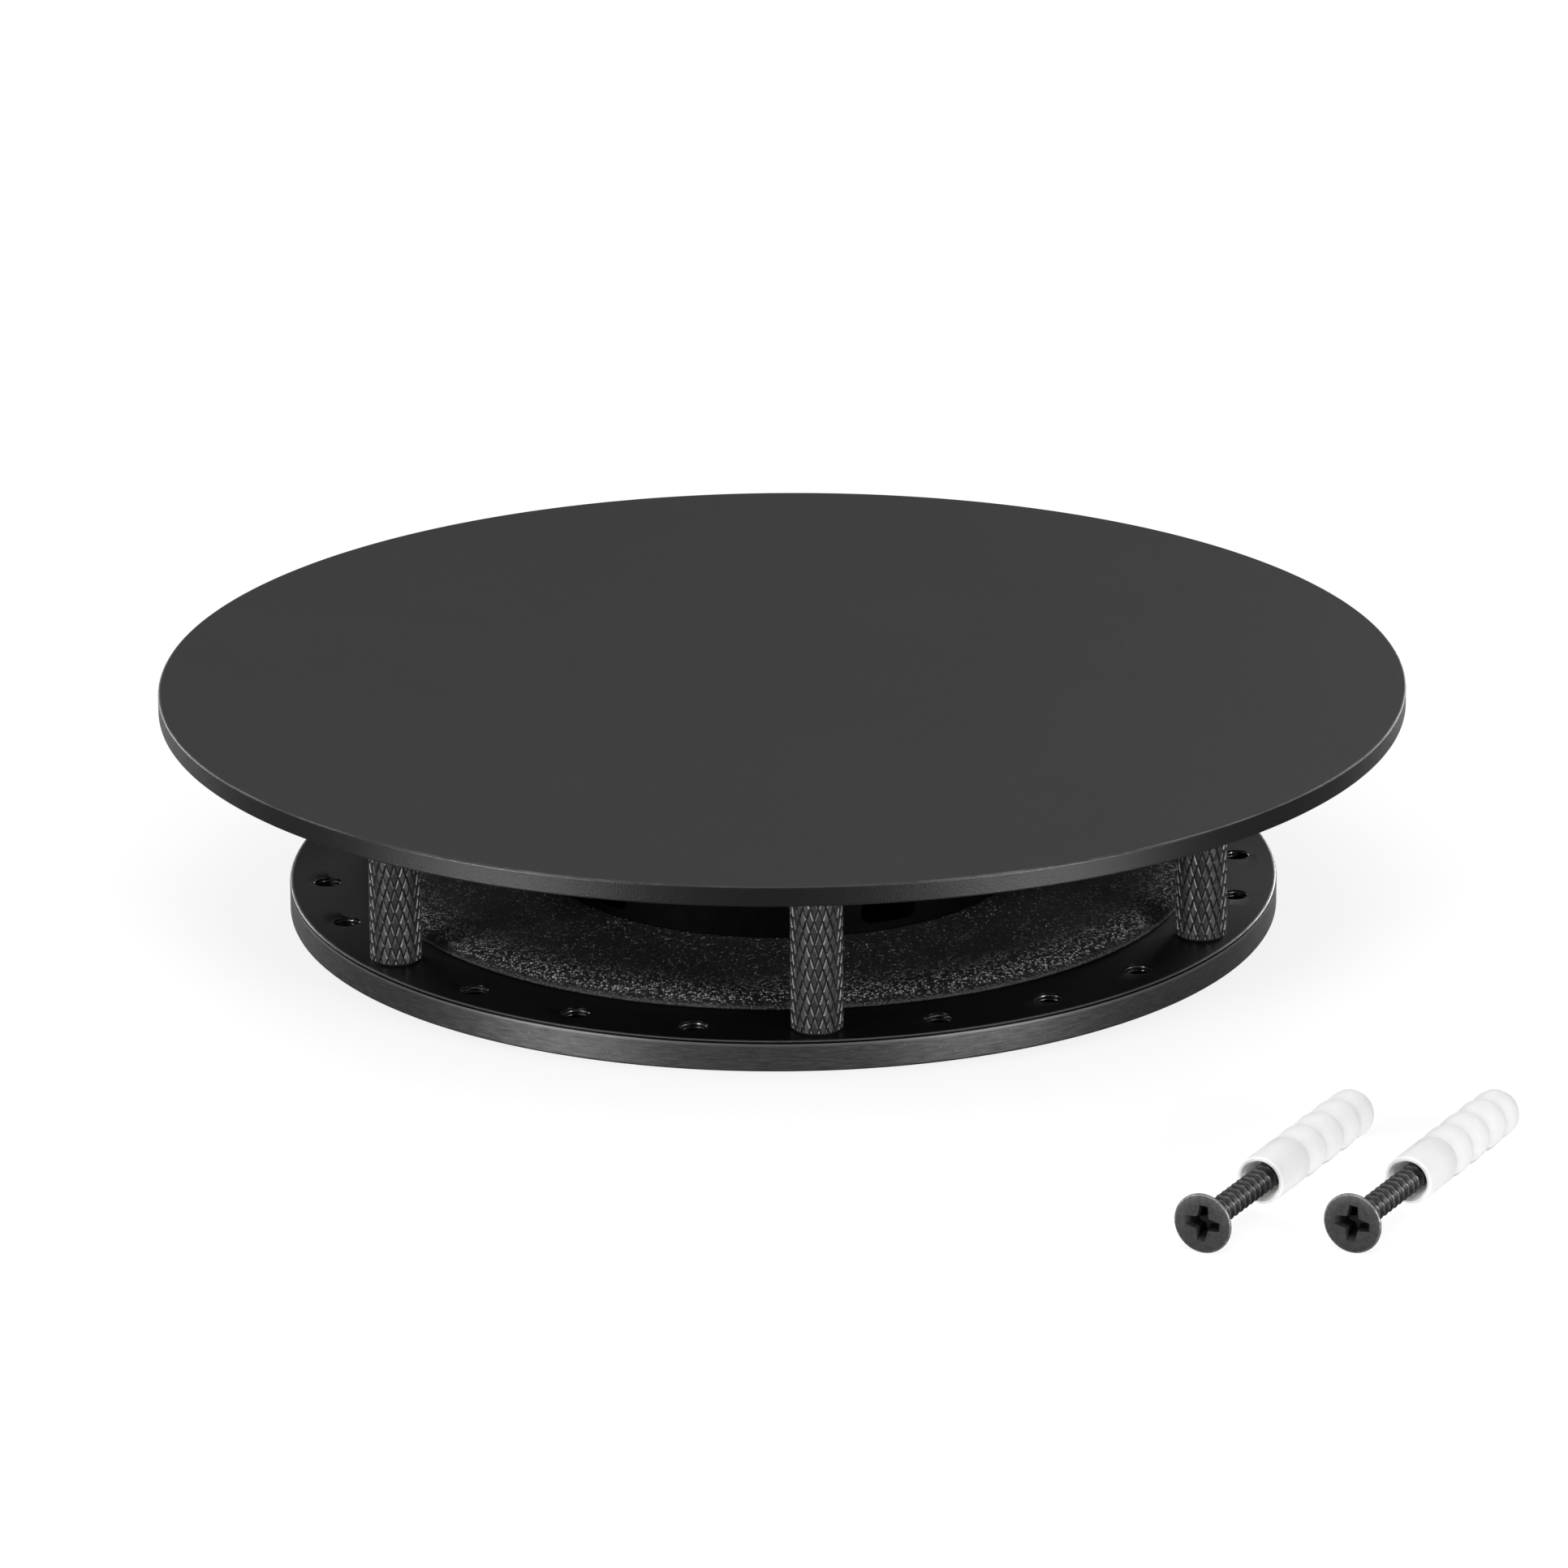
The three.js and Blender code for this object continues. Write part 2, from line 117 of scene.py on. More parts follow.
def tidy(obj, sharp):
    """Merges doubles. Faces meeting at more than sharp degrees keep a crisp edge."""
    merge = 1e-7
    bm = bmesh.new()
    bm.from_mesh(obj.data)
    bmesh.ops.remove_doubles(bm, verts=bm.verts, dist=merge)
    bmesh.ops.dissolve_degenerate(bm, edges=bm.edges, dist=merge)
    bmesh.ops.recalc_face_normals(bm, faces=bm.faces)
    limit = math.radians(sharp)
    for face in bm.faces:
        face.smooth = True
    for edge in bm.edges:
        edge.smooth = len(edge.link_faces) == 2 and edge.calc_face_angle(0.0) < limit
    bm.to_mesh(obj.data)
    bm.free()
    obj.data.update()


def add_points(verts, points):
    """Appends the points and returns their indices, as a row."""
    first = len(verts)
    verts.extend(points)
    return list(range(first, len(verts)))


def add_circle(verts, radii, z, centre=(0.0, 0.0), spin=0.0):
    """A row of points evenly round a vertical line, one for each radius."""
    angles = [TAU * i / len(radii) + spin for i in range(len(radii))]
    return add_points(verts, [
        (centre[0] + radius * math.cos(a), centre[1] + radius * math.sin(a), z)
        for radius, a in zip(radii, angles)
    ])


def bridge(rows, closed=True, flip=False):
    """Faces between neighbouring rows. Points that coincide make triangles or nothing."""
    faces = []
    for row, other in zip(rows, rows[1:]):
        count = len(row)
        for i in range(count if closed else count - 1):
            j = (i + 1) % count
            if flip:
                quad = [row[i], other[i], other[j], row[j]]
            else:
                quad = [row[i], row[j], other[j], other[i]]
            face = list(dict.fromkeys(quad))
            if len(face) > 2:
                faces.append(face)
    return faces


def lathe(name, profile, segments=192, sharp=32.0, centre=(0.0, 0.0)):
    """A profile of (radius, z) turned about Z. It starts and ends on the axis, or is closed."""
    on_axis = 1e-9
    verts, rows = [], []
    for radius, z in profile:
        if radius < on_axis:
            rows.append(add_points(verts, [(*centre, z)]) * segments)
        else:
            rows.append(add_circle(verts, [radius] * segments, z, centre))
    if profile[0][0] > on_axis or profile[-1][0] > on_axis:
        rows.append(rows[0])
    return make(name, verts, bridge(rows), sharp=sharp)


def arc(centre_r, centre_z, radius, start, end, steps):
    """Points of a circular arc between two angles in degrees."""
    angles = [math.radians(start + (end - start) * i / steps) for i in range(steps + 1)]
    return [(centre_r + radius * math.cos(a), centre_z + radius * math.sin(a)) for a in angles]


def around(radius, degrees):
    """A place round the axis, counted from -Y towards +X."""
    angle = math.radians(degrees)
    return radius * math.sin(angle), -radius * math.cos(angle)


def rectangle(half_width, low, high):
    return [(-half_width, low), (half_width, low), (half_width, high), (-half_width, high)]


def prism(name, outline, low, high, scale_high=1.0):
    """A closed prism over a 2-D outline, tapered towards its high end."""
    verts = []
    bottom = add_points(verts, [(x, y, low) for x, y in outline])
    top = add_points(verts, [(x * scale_high, y * scale_high, high) for x, y in outline])
    return make(name, verts, [bottom[::-1], top] + bridge([bottom, top]), sharp=10)


def cut(obj, cutters, sharp=32.0):
    """Takes the cutters out of the mesh and removes them."""
    for cutter in cutters:
        modifier = obj.modifiers.new("cut", "BOOLEAN")
        modifier.operation, modifier.solver, modifier.object = "DIFFERENCE", "EXACT", cutter
    bpy.context.view_layer.update()
    graph = bpy.context.evaluated_depsgraph_get()
    new = bpy.data.meshes.new_from_object(obj.evaluated_get(graph), depsgraph=graph)
    obj.modifiers.clear()
    old = obj.data
    obj.data = new
    bpy.data.meshes.remove(old)
    obj.data.name = obj.name
    for cutter in cutters:
        mesh = cutter.data
        bpy.data.objects.remove(cutter)
        bpy.data.meshes.remove(mesh)
    tidy(obj, sharp)


def side_holes(profile, segments):
    """Cutters for the two side holes, from a profile of (radius, z)."""
    return [
        lathe("cutter", profile, segments, centre=(SIDE_HOLE_X * side, 0)) for side in (-1, 1)
    ]


def place(obj, matrix):
    obj.data.transform(matrix)
    obj.data.update()
    return obj


def finish_piece(obj, node, body, slot):
    obj.data.materials.clear()
    obj.data.materials.append(MATS[slot])
    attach(obj, body)
    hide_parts(node)


def thread_phase(z, pitch, i, count):
    """How far through one turn of a thread a point is, 0 to 1."""
    return (z / pitch - i / count) % 1.0


# ------------------------------------------------------------ material helpers


def near(size, start, end):
    """A span in metres, from two offsets in mm to a size in mm."""
    return (size + start) * MM, (size + end) * MM


class Mat:
    """A Principled material and short calls that add nodes to it."""

    def __init__(self, name):
        self.material = bpy.data.materials.new(name)
        self.material.use_nodes = True
        self.tree = self.material.node_tree
        self.tree.nodes.clear()
        self.output = self.tree.nodes.new("ShaderNodeOutputMaterial")
        self.shader = self.tree.nodes.new("ShaderNodeBsdfPrincipled")
        self.feed(self.output.inputs[0], self.shader.outputs[0])

    @cached_property
    def coord(self):
        return self.tree.nodes.new("ShaderNodeTexCoord").outputs["Object"]

    def feed(self, socket, value):
        if isinstance(value, bpy.types.NodeSocket):
            self.tree.links.new(value, socket)
        else:
            socket.default_value = value

    def set(self, socket, value):
        self.feed(self.shader.inputs[socket], value)

    def node(self, kind, inputs, **props):
        node = self.tree.nodes.new(kind)
        for key, value in props.items():
            setattr(node, key, value)
        for key, value in inputs.items():
            self.feed(node.inputs[key], value)
        return node

    def math(self, operation, first, second=0.0):
        inputs = {0: first, 1: second, 2: 0.0}
        return self.node("ShaderNodeMath", inputs, operation=operation).outputs[0]

    def plus(self, first, second):
        return self.math("ADD", first, second)

    def minus(self, first, second):
        return self.math("SUBTRACT", first, second)

    def times(self, product, *factors):
        for factor in factors:
            product = self.math("MULTIPLY", product, factor)
        return product

    def noise(self, scale, detail=3, rough=0.6, vector=None):
        inputs = {"Vector": vector or self.coord, "Scale": scale}
        inputs.update({"Detail": detail, "Roughness": rough})
        return self.node("ShaderNodeTexNoise", inputs).outputs["Fac"]

    def remap(self, value, span=(0.3, 0.7), to=(0, 1)):
        """Maps a span of the value to another span, clamped. The default is noise's middle."""
        inputs = {"Value": value, "From Min": span[0], "From Max": span[1]}
        inputs.update({"To Min": to[0], "To Max": to[1]})
        return self.node("ShaderNodeMapRange", inputs, clamp=True).outputs["Result"]

    def mix(self, factor, *colours):
        first, second = [
            c if isinstance(c, bpy.types.NodeSocket) else (*c, 1.0) for c in colours
        ]
        inputs = {"Factor": factor, 6: first, 7: second}
        return self.node("ShaderNodeMix", inputs, data_type="RGBA").outputs[2]

    def axes(self):
        """x, y, z and the distance from the Z axis, in metres."""
        x, y, z = self.node("ShaderNodeSeparateXYZ", {0: self.coord}).outputs
        radius = self.math("SQRT", self.plus(self.times(x, x), self.times(y, y)))
        return x, y, z, radius

    def streaks(self, along, across):
        """Coordinates for streaks that are long round Z and fine across it, with z and radius."""
        x, y, z, radius = self.axes()
        theta = self.math("ARCTAN2", y, x)
        inputs = {0: self.times(theta, along), 1: self.times(radius, across)}
        inputs[2] = self.times(z, across)
        return self.node("ShaderNodeCombineXYZ", inputs).outputs[0], z, radius

    def wear(self):
        # the mark for wear and painted light
        return self.node("ShaderNodeAttribute", {}, attribute_name="wear").outputs["Fac"]

    def bump(self, height, distance, strength=0.5):
        inputs = {"Height": height, "Distance": distance, "Strength": strength}
        self.set("Normal", self.node("ShaderNodeBump", inputs).outputs[0])

    def turned(self, amount):
        """Rough across the turning marks, so highlights spread up and down."""
        self.set("Anisotropic", amount)
        self.set("Anisotropic Rotation", 0.25)
        tangent = self.node("ShaderNodeTangent", {}, direction_type="RADIAL", axis="Z")
        self.set("Tangent", tangent.outputs[0])

    def gloss(self, grain, rough, distance, strength=0.5):
        """Roughness and bump from one grain."""
        self.set("Roughness", self.remap(grain, to=rough))
        self.bump(grain, distance, strength)

    def tint(self, grain, dark, light):
        self.set("Base Color", self.mix(self.remap(grain), dark, light))


# ------------------------------------------------------------ materials


def powder_disc():
    mat = Mat("disc_powder_coat")
    fine = mat.noise(scale=5200, detail=2)
    patch = mat.noise(scale=38, rough=0.55)
    speck = mat.noise(scale=1900, detail=1, rough=0.5)
    _, _, height, radius = mat.axes()
    tone = mat.mix(mat.remap(patch), (0.0130, 0.0127, 0.0130), (0.0152, 0.0149, 0.0152))
    tone = mat.mix(mat.remap(speck, span=(0.72, 0.8), to=(0, 0.35)), tone, (0.085, 0.083, 0.084))
    # the top bevel is painted lighter as a painted highlight line, stronger in some patches than
    # in others
    edge = mat.remap(radius, span=near(DISC_RADIUS, -0.42, -0.28))
    top = mat.remap(height, span=near(DISC_TOP, -0.45, -0.3))
    patchy = mat.noise(scale=55, detail=4, rough=0.7)
    bevel_highlight_patches = mat.remap(patchy, span=(0.42, 0.62), to=(0.12, 0.75))
    tone = mat.mix(mat.times(edge, top, bevel_highlight_patches), tone, (0.13, 0.13, 0.135))
    # the side is shinier and shows its turning; its colour is painted far darker than the top's,
    # as painted shade
    rim = mat.remap(radius, span=near(DISC_RADIUS, -0.12, -0.03))
    mat.set("Base Color", mat.mix(rim, tone, (0.0008, 0.0008, 0.0009)))
    mat.set("Roughness", mat.minus(mat.remap(fine, to=(0.46, 0.58)), mat.times(rim, 0.12)))
    mat.set("Specular IOR Level", mat.remap(rim, span=(0, 1), to=(0.3, 0.66)))
    mat.turned(amount=mat.times(rim, 0.65))
    mat.bump(fine, distance=0.00006, strength=0.55)
    return mat.material


def satin_ring():
    mat = Mat("ring_satin_black")
    vector, z, radius = mat.streaks(along=26, across=5200)
    streak = mat.noise(scale=1.0, vector=vector)
    hair_vector, _, _ = mat.streaks(along=150, across=9000)
    hair = mat.noise(scale=1.0, detail=1, rough=0.5, vector=hair_vector)
    grain = mat.noise(scale=3600, detail=2)
    streaky = (0.35, 0.7)
    tone = mat.mix(
        mat.remap(streak, span=streaky), (0.066, 0.066, 0.068), (0.118, 0.118, 0.121)
    )
    tone = mat.mix(mat.remap(grain, span=(0.62, 0.76), to=(0, 0.6)), tone, (0.22, 0.22, 0.225))
    # inside the tapped holes: painted highlight on the thread crests, painted shade in the roots
    # between them
    mark = mat.wear()
    crest = mat.remap(mark, span=(0.1, 0.6))
    wall = mat.remap(mark, span=(-0.05, -0.35))
    # painted shade makes the top and the bevel near black; a painted highlight line runs along the
    # bevel's crest, and a painted highlight band brightens the start of the side
    edge = mat.remap(radius, span=near(RING_RADIUS, -0.56, -0.46))
    face = mat.remap(z, span=near(RING_TOP, -0.46, -0.41))
    bevel_crest_highlight = mat.times(
        mat.remap(z, span=near(RING_TOP, -0.13, -0.08)),
        edge,
        mat.remap(streak, span=(0.35, 0.65), to=(0.55, 1.0)),
    )
    # painted highlight band at the start of the side
    below = mat.remap(z, span=near(RING_TOP, -0.95, -0.6))
    shoulder = mat.times(below, mat.minus(1.0, face))
    # painted shade over the top, the bevel and the thread roots
    dark = mat.math("MAXIMUM", face, wall)
    black = mat.mix(
        mat.remap(streak, span=streaky), (0.0012, 0.0012, 0.0013), (0.003, 0.003, 0.0032)
    )
    tone = mat.mix(mat.times(shoulder, edge), tone, (0.2, 0.2, 0.204))
    tone = mat.mix(dark, tone, black)
    tone = mat.mix(bevel_crest_highlight, tone, (0.34, 0.34, 0.345))
    mat.set("Base Color", mat.mix(crest, tone, (0.42, 0.42, 0.43)))
    metal = mat.math("MAXIMUM", mat.remap(dark, span=(0, 1), to=(0.75, 0.0)), crest)
    mat.set("Metallic", mat.math("MAXIMUM", metal, bevel_crest_highlight))
    dull = mat.times(face, mat.plus(1.0, edge))
    mat.set("Specular IOR Level", mat.remap(dull, span=(0, 2), to=(0.5, 0.04)))
    mat.turned(amount=0.6)
    marks = mat.plus(mat.times(streak, 0.6), mat.times(hair, 0.4))
    mat.set("Roughness", mat.remap(marks, to=(0.33, 0.47)))
    relief = mat.plus(mat.times(streak, 0.7), mat.times(grain, 0.3))
    mat.bump(relief, distance=0.00003, strength=0.6)
    return mat.material


def knurled():
    mat = Mat("pillar_knurled_steel")
    grime = mat.noise(scale=900)
    micro = mat.noise(scale=9000, detail=2)
    # bright rims round the diamonds, worn metal and painted highlight together, broken up by grime
    broken = mat.plus(mat.wear(), mat.times(mat.minus(grime, 0.5), 0.6))
    rim_wear_and_highlight = mat.remap(broken, span=(0.45, 1.0))
    tone = mat.mix(mat.remap(grime), (0.058, 0.058, 0.06), (0.085, 0.085, 0.088))
    mat.set("Base Color", mat.mix(rim_wear_and_highlight, tone, (0.2, 0.2, 0.206)))
    mat.set("Metallic", 0.9)
    mat.gloss(micro, rough=(0.36, 0.52), distance=0.00001)
    return mat.material


def granular():
    mat = Mat("pan_granular_coat")
    inputs = {"Vector": mat.coord, "Scale": 2450.0}
    cell = mat.node("ShaderNodeTexVoronoi", inputs, feature="F1")
    distance = cell.outputs["Distance"]
    pick = mat.node("ShaderNodeSeparateColor", {0: cell.outputs["Color"]}).outputs[0]
    grain = mat.noise(scale=2300, rough=0.7)
    fine = mat.noise(scale=6500, detail=1, rough=0.5)
    patch = mat.noise(scale=120)
    crown = mat.minus(1.0, mat.times(distance, 1.2))
    relief = mat.plus(mat.times(grain, 0.7), mat.times(crown, pick, 0.6))
    # painted glints: single grains are painted bright, more in some patches than in others
    painted_glints = mat.times(
        mat.remap(pick, span=(0.74, 0.92)),
        mat.remap(distance, span=(0.15, 0.5), to=(1, 0)),
        mat.remap(patch, span=(0.35, 0.65), to=(0.25, 1.0)),
    )
    # the painted glints are denser towards the rim, which faces the lamps, and the outermost edge
    # is painted dark as painted shade
    _, _, _, radius = mat.axes()
    rim = mat.times(
        mat.remap(radius, span=near(PAN_RADIUS, -12.0, -3.5)),
        mat.remap(radius, span=near(PAN_RADIUS, -1.4, -0.4), to=(1, 0.4)),
    )
    dense = mat.times(
        mat.remap(pick, span=(0.35, 0.8)), mat.remap(distance, span=(0.2, 0.6), to=(1, 0))
    )
    painted_glints = mat.math("MAXIMUM", painted_glints, mat.times(dense, mat.times(rim, 0.9)))
    tone = mat.mix(
        mat.remap(grain, span=(0.4, 0.7)), (0.006, 0.006, 0.0062), (0.03, 0.03, 0.031)
    )
    tone = mat.mix(painted_glints, tone, (0.75, 0.75, 0.76))
    # painted shade along the outermost edge
    edge = mat.remap(radius, span=near(PAN_RADIUS, -1.0, -0.3), to=(0, 0.85))
    mat.set("Base Color", mat.mix(edge, tone, (0.005, 0.005, 0.0052)))
    mat.set("Roughness", mat.remap(fine, to=(0.34, 0.6)))
    mat.set("Specular IOR Level", 0.55)
    mat.bump(relief, distance=0.0004, strength=1.0)
    return mat.material


def satin_cap():
    mat = Mat("cap_satin_black")
    soft = mat.noise(scale=420, detail=2, rough=0.5)
    fine = mat.noise(scale=5200, detail=2)
    # painted shade: the cap's black is painted darker than a real black finish, as it sits in
    # shade under the disc
    mat.tint(soft, dark=(0.0007, 0.0007, 0.00075), light=(0.0014, 0.0014, 0.0015))
    mat.set("Specular IOR Level", 0.02)
    mat.gloss(fine, rough=(0.42, 0.54), distance=0.00002)
    return mat.material


def rubber():
    mat = Mat("foot_rubber")
    fine = mat.noise(scale=2600)
    mat.tint(fine, dark=(0.012, 0.012, 0.012), light=(0.024, 0.024, 0.023))
    mat.gloss(fine, rough=(0.7, 0.9), distance=0.00008, strength=0.7)
    return mat.material


def ground_steel():
    mat = Mat("bearing_ground_steel")
    vector, _, _ = mat.streaks(along=40, across=6000)
    streak = mat.noise(scale=1.0, detail=2, vector=vector)
    mat.tint(streak, dark=(0.5, 0.51, 0.53), light=(0.62, 0.63, 0.65))
    mat.set("Metallic", 1.0)
    mat.gloss(streak, rough=(0.16, 0.3), distance=0.000006)
    return mat.material


def cage_polymer():
    mat = Mat("cage_moulded_polymer")
    grain = mat.noise(scale=1400)
    mat.tint(grain, dark=(0.13, 0.14, 0.12), light=(0.18, 0.19, 0.165))
    mat.gloss(grain, rough=(0.45, 0.62), distance=0.00003)
    return mat.material


def black_steel():
    mat = Mat("screw_black_steel")
    patch = mat.noise(scale=1500)
    fine = mat.noise(scale=7000, detail=2)
    wear = mat.wear()
    tone = mat.mix(mat.remap(patch), (0.036, 0.036, 0.037), (0.058, 0.058, 0.06))
    # the head's rim and the thread crests are painted lighter: wear and painted highlight together
    wear_and_highlight = mat.times(
        mat.remap(wear, span=(0, 1)), mat.remap(patch, span=(0.35, 0.65), to=(0.4, 0.9))
    )
    tone = mat.mix(wear_and_highlight, tone, (0.3, 0.3, 0.305))
    # negative marks are painted shade in the cross recess
    recess_shade = mat.remap(wear, span=(-0.02, -0.45))
    mat.set("Base Color", mat.mix(recess_shade, tone, (0.004, 0.004, 0.004)))
    mat.set("Metallic", mat.remap(recess_shade, span=(0, 1), to=(0.75, 0.0)))
    mat.set("Specular IOR Level", mat.remap(recess_shade, span=(0, 1), to=(0.5, 0.12)))
    mat.gloss(fine, rough=(0.42, 0.56), distance=0.000012)
    return mat.material


def zinc():
    mat = Mat("stud_bright_zinc")
    grain = mat.noise(scale=1800)
    mat.tint(grain, dark=(0.36, 0.37, 0.39), light=(0.5, 0.51, 0.53))
    mat.set("Metallic", 1.0)
    mat.gloss(grain, rough=(0.26, 0.42), distance=0.00001)
    return mat.material


def nylon():
    mat = Mat("plug_white_nylon")
    soft = mat.noise(scale=500)
    fine = mat.noise(scale=3200, detail=2)
    mat.tint(soft, dark=(0.79, 0.79, 0.785), light=(0.83, 0.83, 0.825))
    mat.set("Subsurface Weight", 0.3)
    mat.set("Subsurface Radius", (1.0, 1.0, 0.95))
    mat.set("Subsurface Scale", 0.005)
    mat.gloss(fine, rough=(0.4, 0.55), distance=0.00003)
    return mat.material


MATS = {
    "disc_powder": powder_disc(),
    "ring_satin": satin_ring(),
    "knurled_steel": knurled(),
    "pan_granular": granular(),
    "cap_satin": satin_cap(),
    "foot_rubber": rubber(),
    "bearing_steel": ground_steel(),
    "cage_polymer": cage_polymer(),
    "black_steel": black_steel(),
    "zinc_steel": zinc(),
    "plug_nylon": nylon(),
}

# ------------------------------------------------------------ wheel disc

BEVEL_ROW = 0.03  # short rows beside a bevel keep the flats flat in the shading


def build_disc():
    bevel = 0.3
    bevel_r = DISC_RADIUS - bevel
    radii = (0, 25, 50, 75, 92, bevel_r - BEVEL_ROW)
    profile = [(radius, DISC_LOW) for radius in radii]
    profile += arc(bevel_r, DISC_LOW + bevel, bevel, -90, 0, 4)
    profile += [(DISC_RADIUS, DISC_LOW + bevel + BEVEL_ROW)]
    profile += [(DISC_RADIUS, DISC_TOP - bevel - BEVEL_ROW)]
    profile += arc(bevel_r, DISC_TOP - bevel, bevel, 0, 90, 4)
    profile += [(radius, DISC_TOP) for radius in reversed(radii)]
    disc = lathe("wheel_head_disc", profile, segments=288, sharp=30)
    finish_piece(disc, "wheel_disc", "head", "disc_powder")


build_disc()

# ------------------------------------------------------------ drilled ring

RING_SECTORS = 24  # each has one hole; every fourth, under a pillar, is plain
SECTOR_DEGREES = 360 // RING_SECTORS
SECTOR_HALF = math.radians(7.5)
HOLE_POINTS = 32  # round a hole, and round the square patch that holds it
PATCH_HALF = 5.4  # half height of the patch, radially
HOLE_MOUTH_RADIUS, PLAIN_HOLE_RADIUS = 2.25, 2.4
TAP_RADIUS, TAP_DEPTH, TAP_PITCH, TAP_STEPS = 2.08, 0.3, 0.62, 6
RING_BEVEL = 0.4
RING_BORE, RING_LIP_BORE, RING_LIP_Z = 61.55, 60.2, 5.95


def patch_outline():
    """The patch's outline as (across, radial) in -1..1, from the middle of one side."""
    outline = []
    for i in range(HOLE_POINTS):
        c, s = math.cos(TAU * i / HOLE_POINTS), math.sin(TAU * i / HOLE_POINTS)
        k = 1 / max(abs(c), abs(s))
        outline.append((c * k, s * k))
    return outline


def ring_section():
    """The section of (radius, z) outside the patch, then inside it."""
    corner = RING_RADIUS - RING_BEVEL
    outer = [(HOLE_PITCH_RADIUS + PATCH_HALF, RING_TOP)]
    outer += arc(corner, RING_TOP - RING_BEVEL, RING_BEVEL, 90, 0, 5)
    outer += [(RING_RADIUS, RING_TOP - RING_BEVEL - BEVEL_ROW)]
    outer += [(RING_RADIUS, RING_LOW + RING_BEVEL + BEVEL_ROW)]
    outer += arc(corner, RING_LOW + RING_BEVEL, RING_BEVEL, 0, -90, 5)
    outer += [(HOLE_PITCH_RADIUS + PATCH_HALF, RING_LOW)]
    inner = [
        (HOLE_PITCH_RADIUS - PATCH_HALF, RING_LOW),
        (RING_BORE + 0.2, RING_LOW),
        (RING_BORE, RING_LOW + 0.2),
        (RING_BORE, RING_LIP_Z),
        (RING_LIP_BORE, RING_LIP_Z),
        (RING_LIP_BORE, RING_TOP - 0.12),
        (RING_LIP_BORE + 0.12, RING_TOP),
        (HOLE_PITCH_RADIUS - PATCH_HALF, RING_TOP),
    ]
    return outer, inner


def add_sector(verts, faces, wear, sector):
    """One sector. Thread points get a mark of 1 on a crest, for painted highlight, and -1 in a
    root, for painted shade.
    """
    middle = math.radians(SECTOR_DEGREES * sector)
    sin_m, cos_m = math.sin(middle), math.cos(middle)
    hole_x, hole_y = around(HOLE_PITCH_RADIUS, SECTOR_DEGREES * sector)

    def sector_row(points):
        """A row of (radius, share of the half sector, z)."""
        turns = [(radius, middle + share * SECTOR_HALF, z) for radius, share, z in points]
        return add_points(verts, [(r * math.sin(t), -r * math.cos(t), z) for r, t, z in turns])

    def hole_row(radii, z):
        points = []
        for i, radius in enumerate(radii):
            c, s = math.cos(TAU * i / HOLE_POINTS), math.sin(TAU * i / HOLE_POINTS)
            x = hole_x + radius * (c * cos_m + s * sin_m)
            y = hole_y + radius * (c * sin_m - s * cos_m)
            points.append((x, y, z))
        return add_points(verts, points)

    def face_rows(z):
        """From the patch's outline to the hole's mouth, with a row between."""
        outer = sector_row([
            (HOLE_PITCH_RADIUS + radial * PATCH_HALF, across, z)
            for across, radial in patch_outline()
        ])
        mouth = hole_row([HOLE_MOUTH_RADIUS] * HOLE_POINTS, z)
        share = 0.6
        between = add_points(verts, [
            tuple(verts[o][k] * (1 - share) + verts[m][k] * share for k in range(2)) + (z,)
            for o, m in zip(outer, mouth)
        ])
        return [outer, between, mouth]

    rows = face_rows(RING_TOP)
    if sector % 4 == 0:
        for z in (RING_TOP - 0.05, RING_LOW + 0.05):
            rows.append(hole_row([PLAIN_HOLE_RADIUS] * HOLE_POINTS, z))
    else:
        z = RING_TOP - 0.06
        while z > RING_LOW + 0.06:
            depths = []
            for i in range(HOLE_POINTS):
                phase = thread_phase(z, TAP_PITCH, i, HOLE_POINTS)
                share = min(1.0, max(0.0, 1.4 - abs(phase - 0.5) * 3.2))
                depths.append(TAP_DEPTH * share)
            row = hole_row([TAP_RADIUS + depth for depth in depths], z)
            for index, depth in zip(row, depths):
                # crests are marked for painted highlight, roots for painted shade
                wear[index] = 1 - 2 * min(1.0, depth / 0.12)
            rows.append(row)
            z -= TAP_PITCH / TAP_STEPS
    rows += reversed(face_rows(RING_LOW))
    faces += bridge(rows)

    eighth = HOLE_POINTS // 8
    shares = [math.tan(TAU * i / HOLE_POINTS) for i in range(-eighth, eighth + 1)]
    for chain in ring_section():
        rows = [sector_row([(radius, share, z) for share in shares]) for radius, z in chain]
        faces += bridge(rows, closed=False)


def build_ring():
    verts, faces, thread_painted_light = [], [], {}
    for sector in range(RING_SECTORS):
        add_sector(verts, faces, thread_painted_light, sector)
    wear = [thread_painted_light.get(i, 0.0) for i in range(len(verts))]
    ring = make("drilled_pillar_ring", verts, faces, sharp=28, wear=wear)
    finish_piece(ring, "pillar_ring", "head", "ring_satin")


build_ring()

# ------------------------------------------------------------ knurled pillars

PILLAR_COUNT = 6
PILLAR_SPACING = 360 // PILLAR_COUNT
PILLAR_RADIUS = 4.1
PILLAR_CHAMFER = 0.45
KNURL_COUNT = 20  # diamonds round a pillar
KNURL_LENGTH = 3.9  # of one diamond, along the pillar
KNURL_DEPTH = 0.24
KNURL_FLANK = 0.34  # share of a diamond's half width taken by its sloping side
KNURL_RIM = 0.16  # width of a diamond's rim, worn and painted with highlight, as the same share
KNURL_FINE = 10  # mesh steps across one diamond
KNURL_COLUMNS = KNURL_COUNT * KNURL_FINE


def groove_distance(turn, along):
    """From 0 in a groove to 1 amid a diamond. Both places are counted in diamonds."""
    first, second = (turn + along) % 1.0, (turn - along) % 1.0
    return min(1 - abs(2 * first - 1), 1 - abs(2 * second - 1))


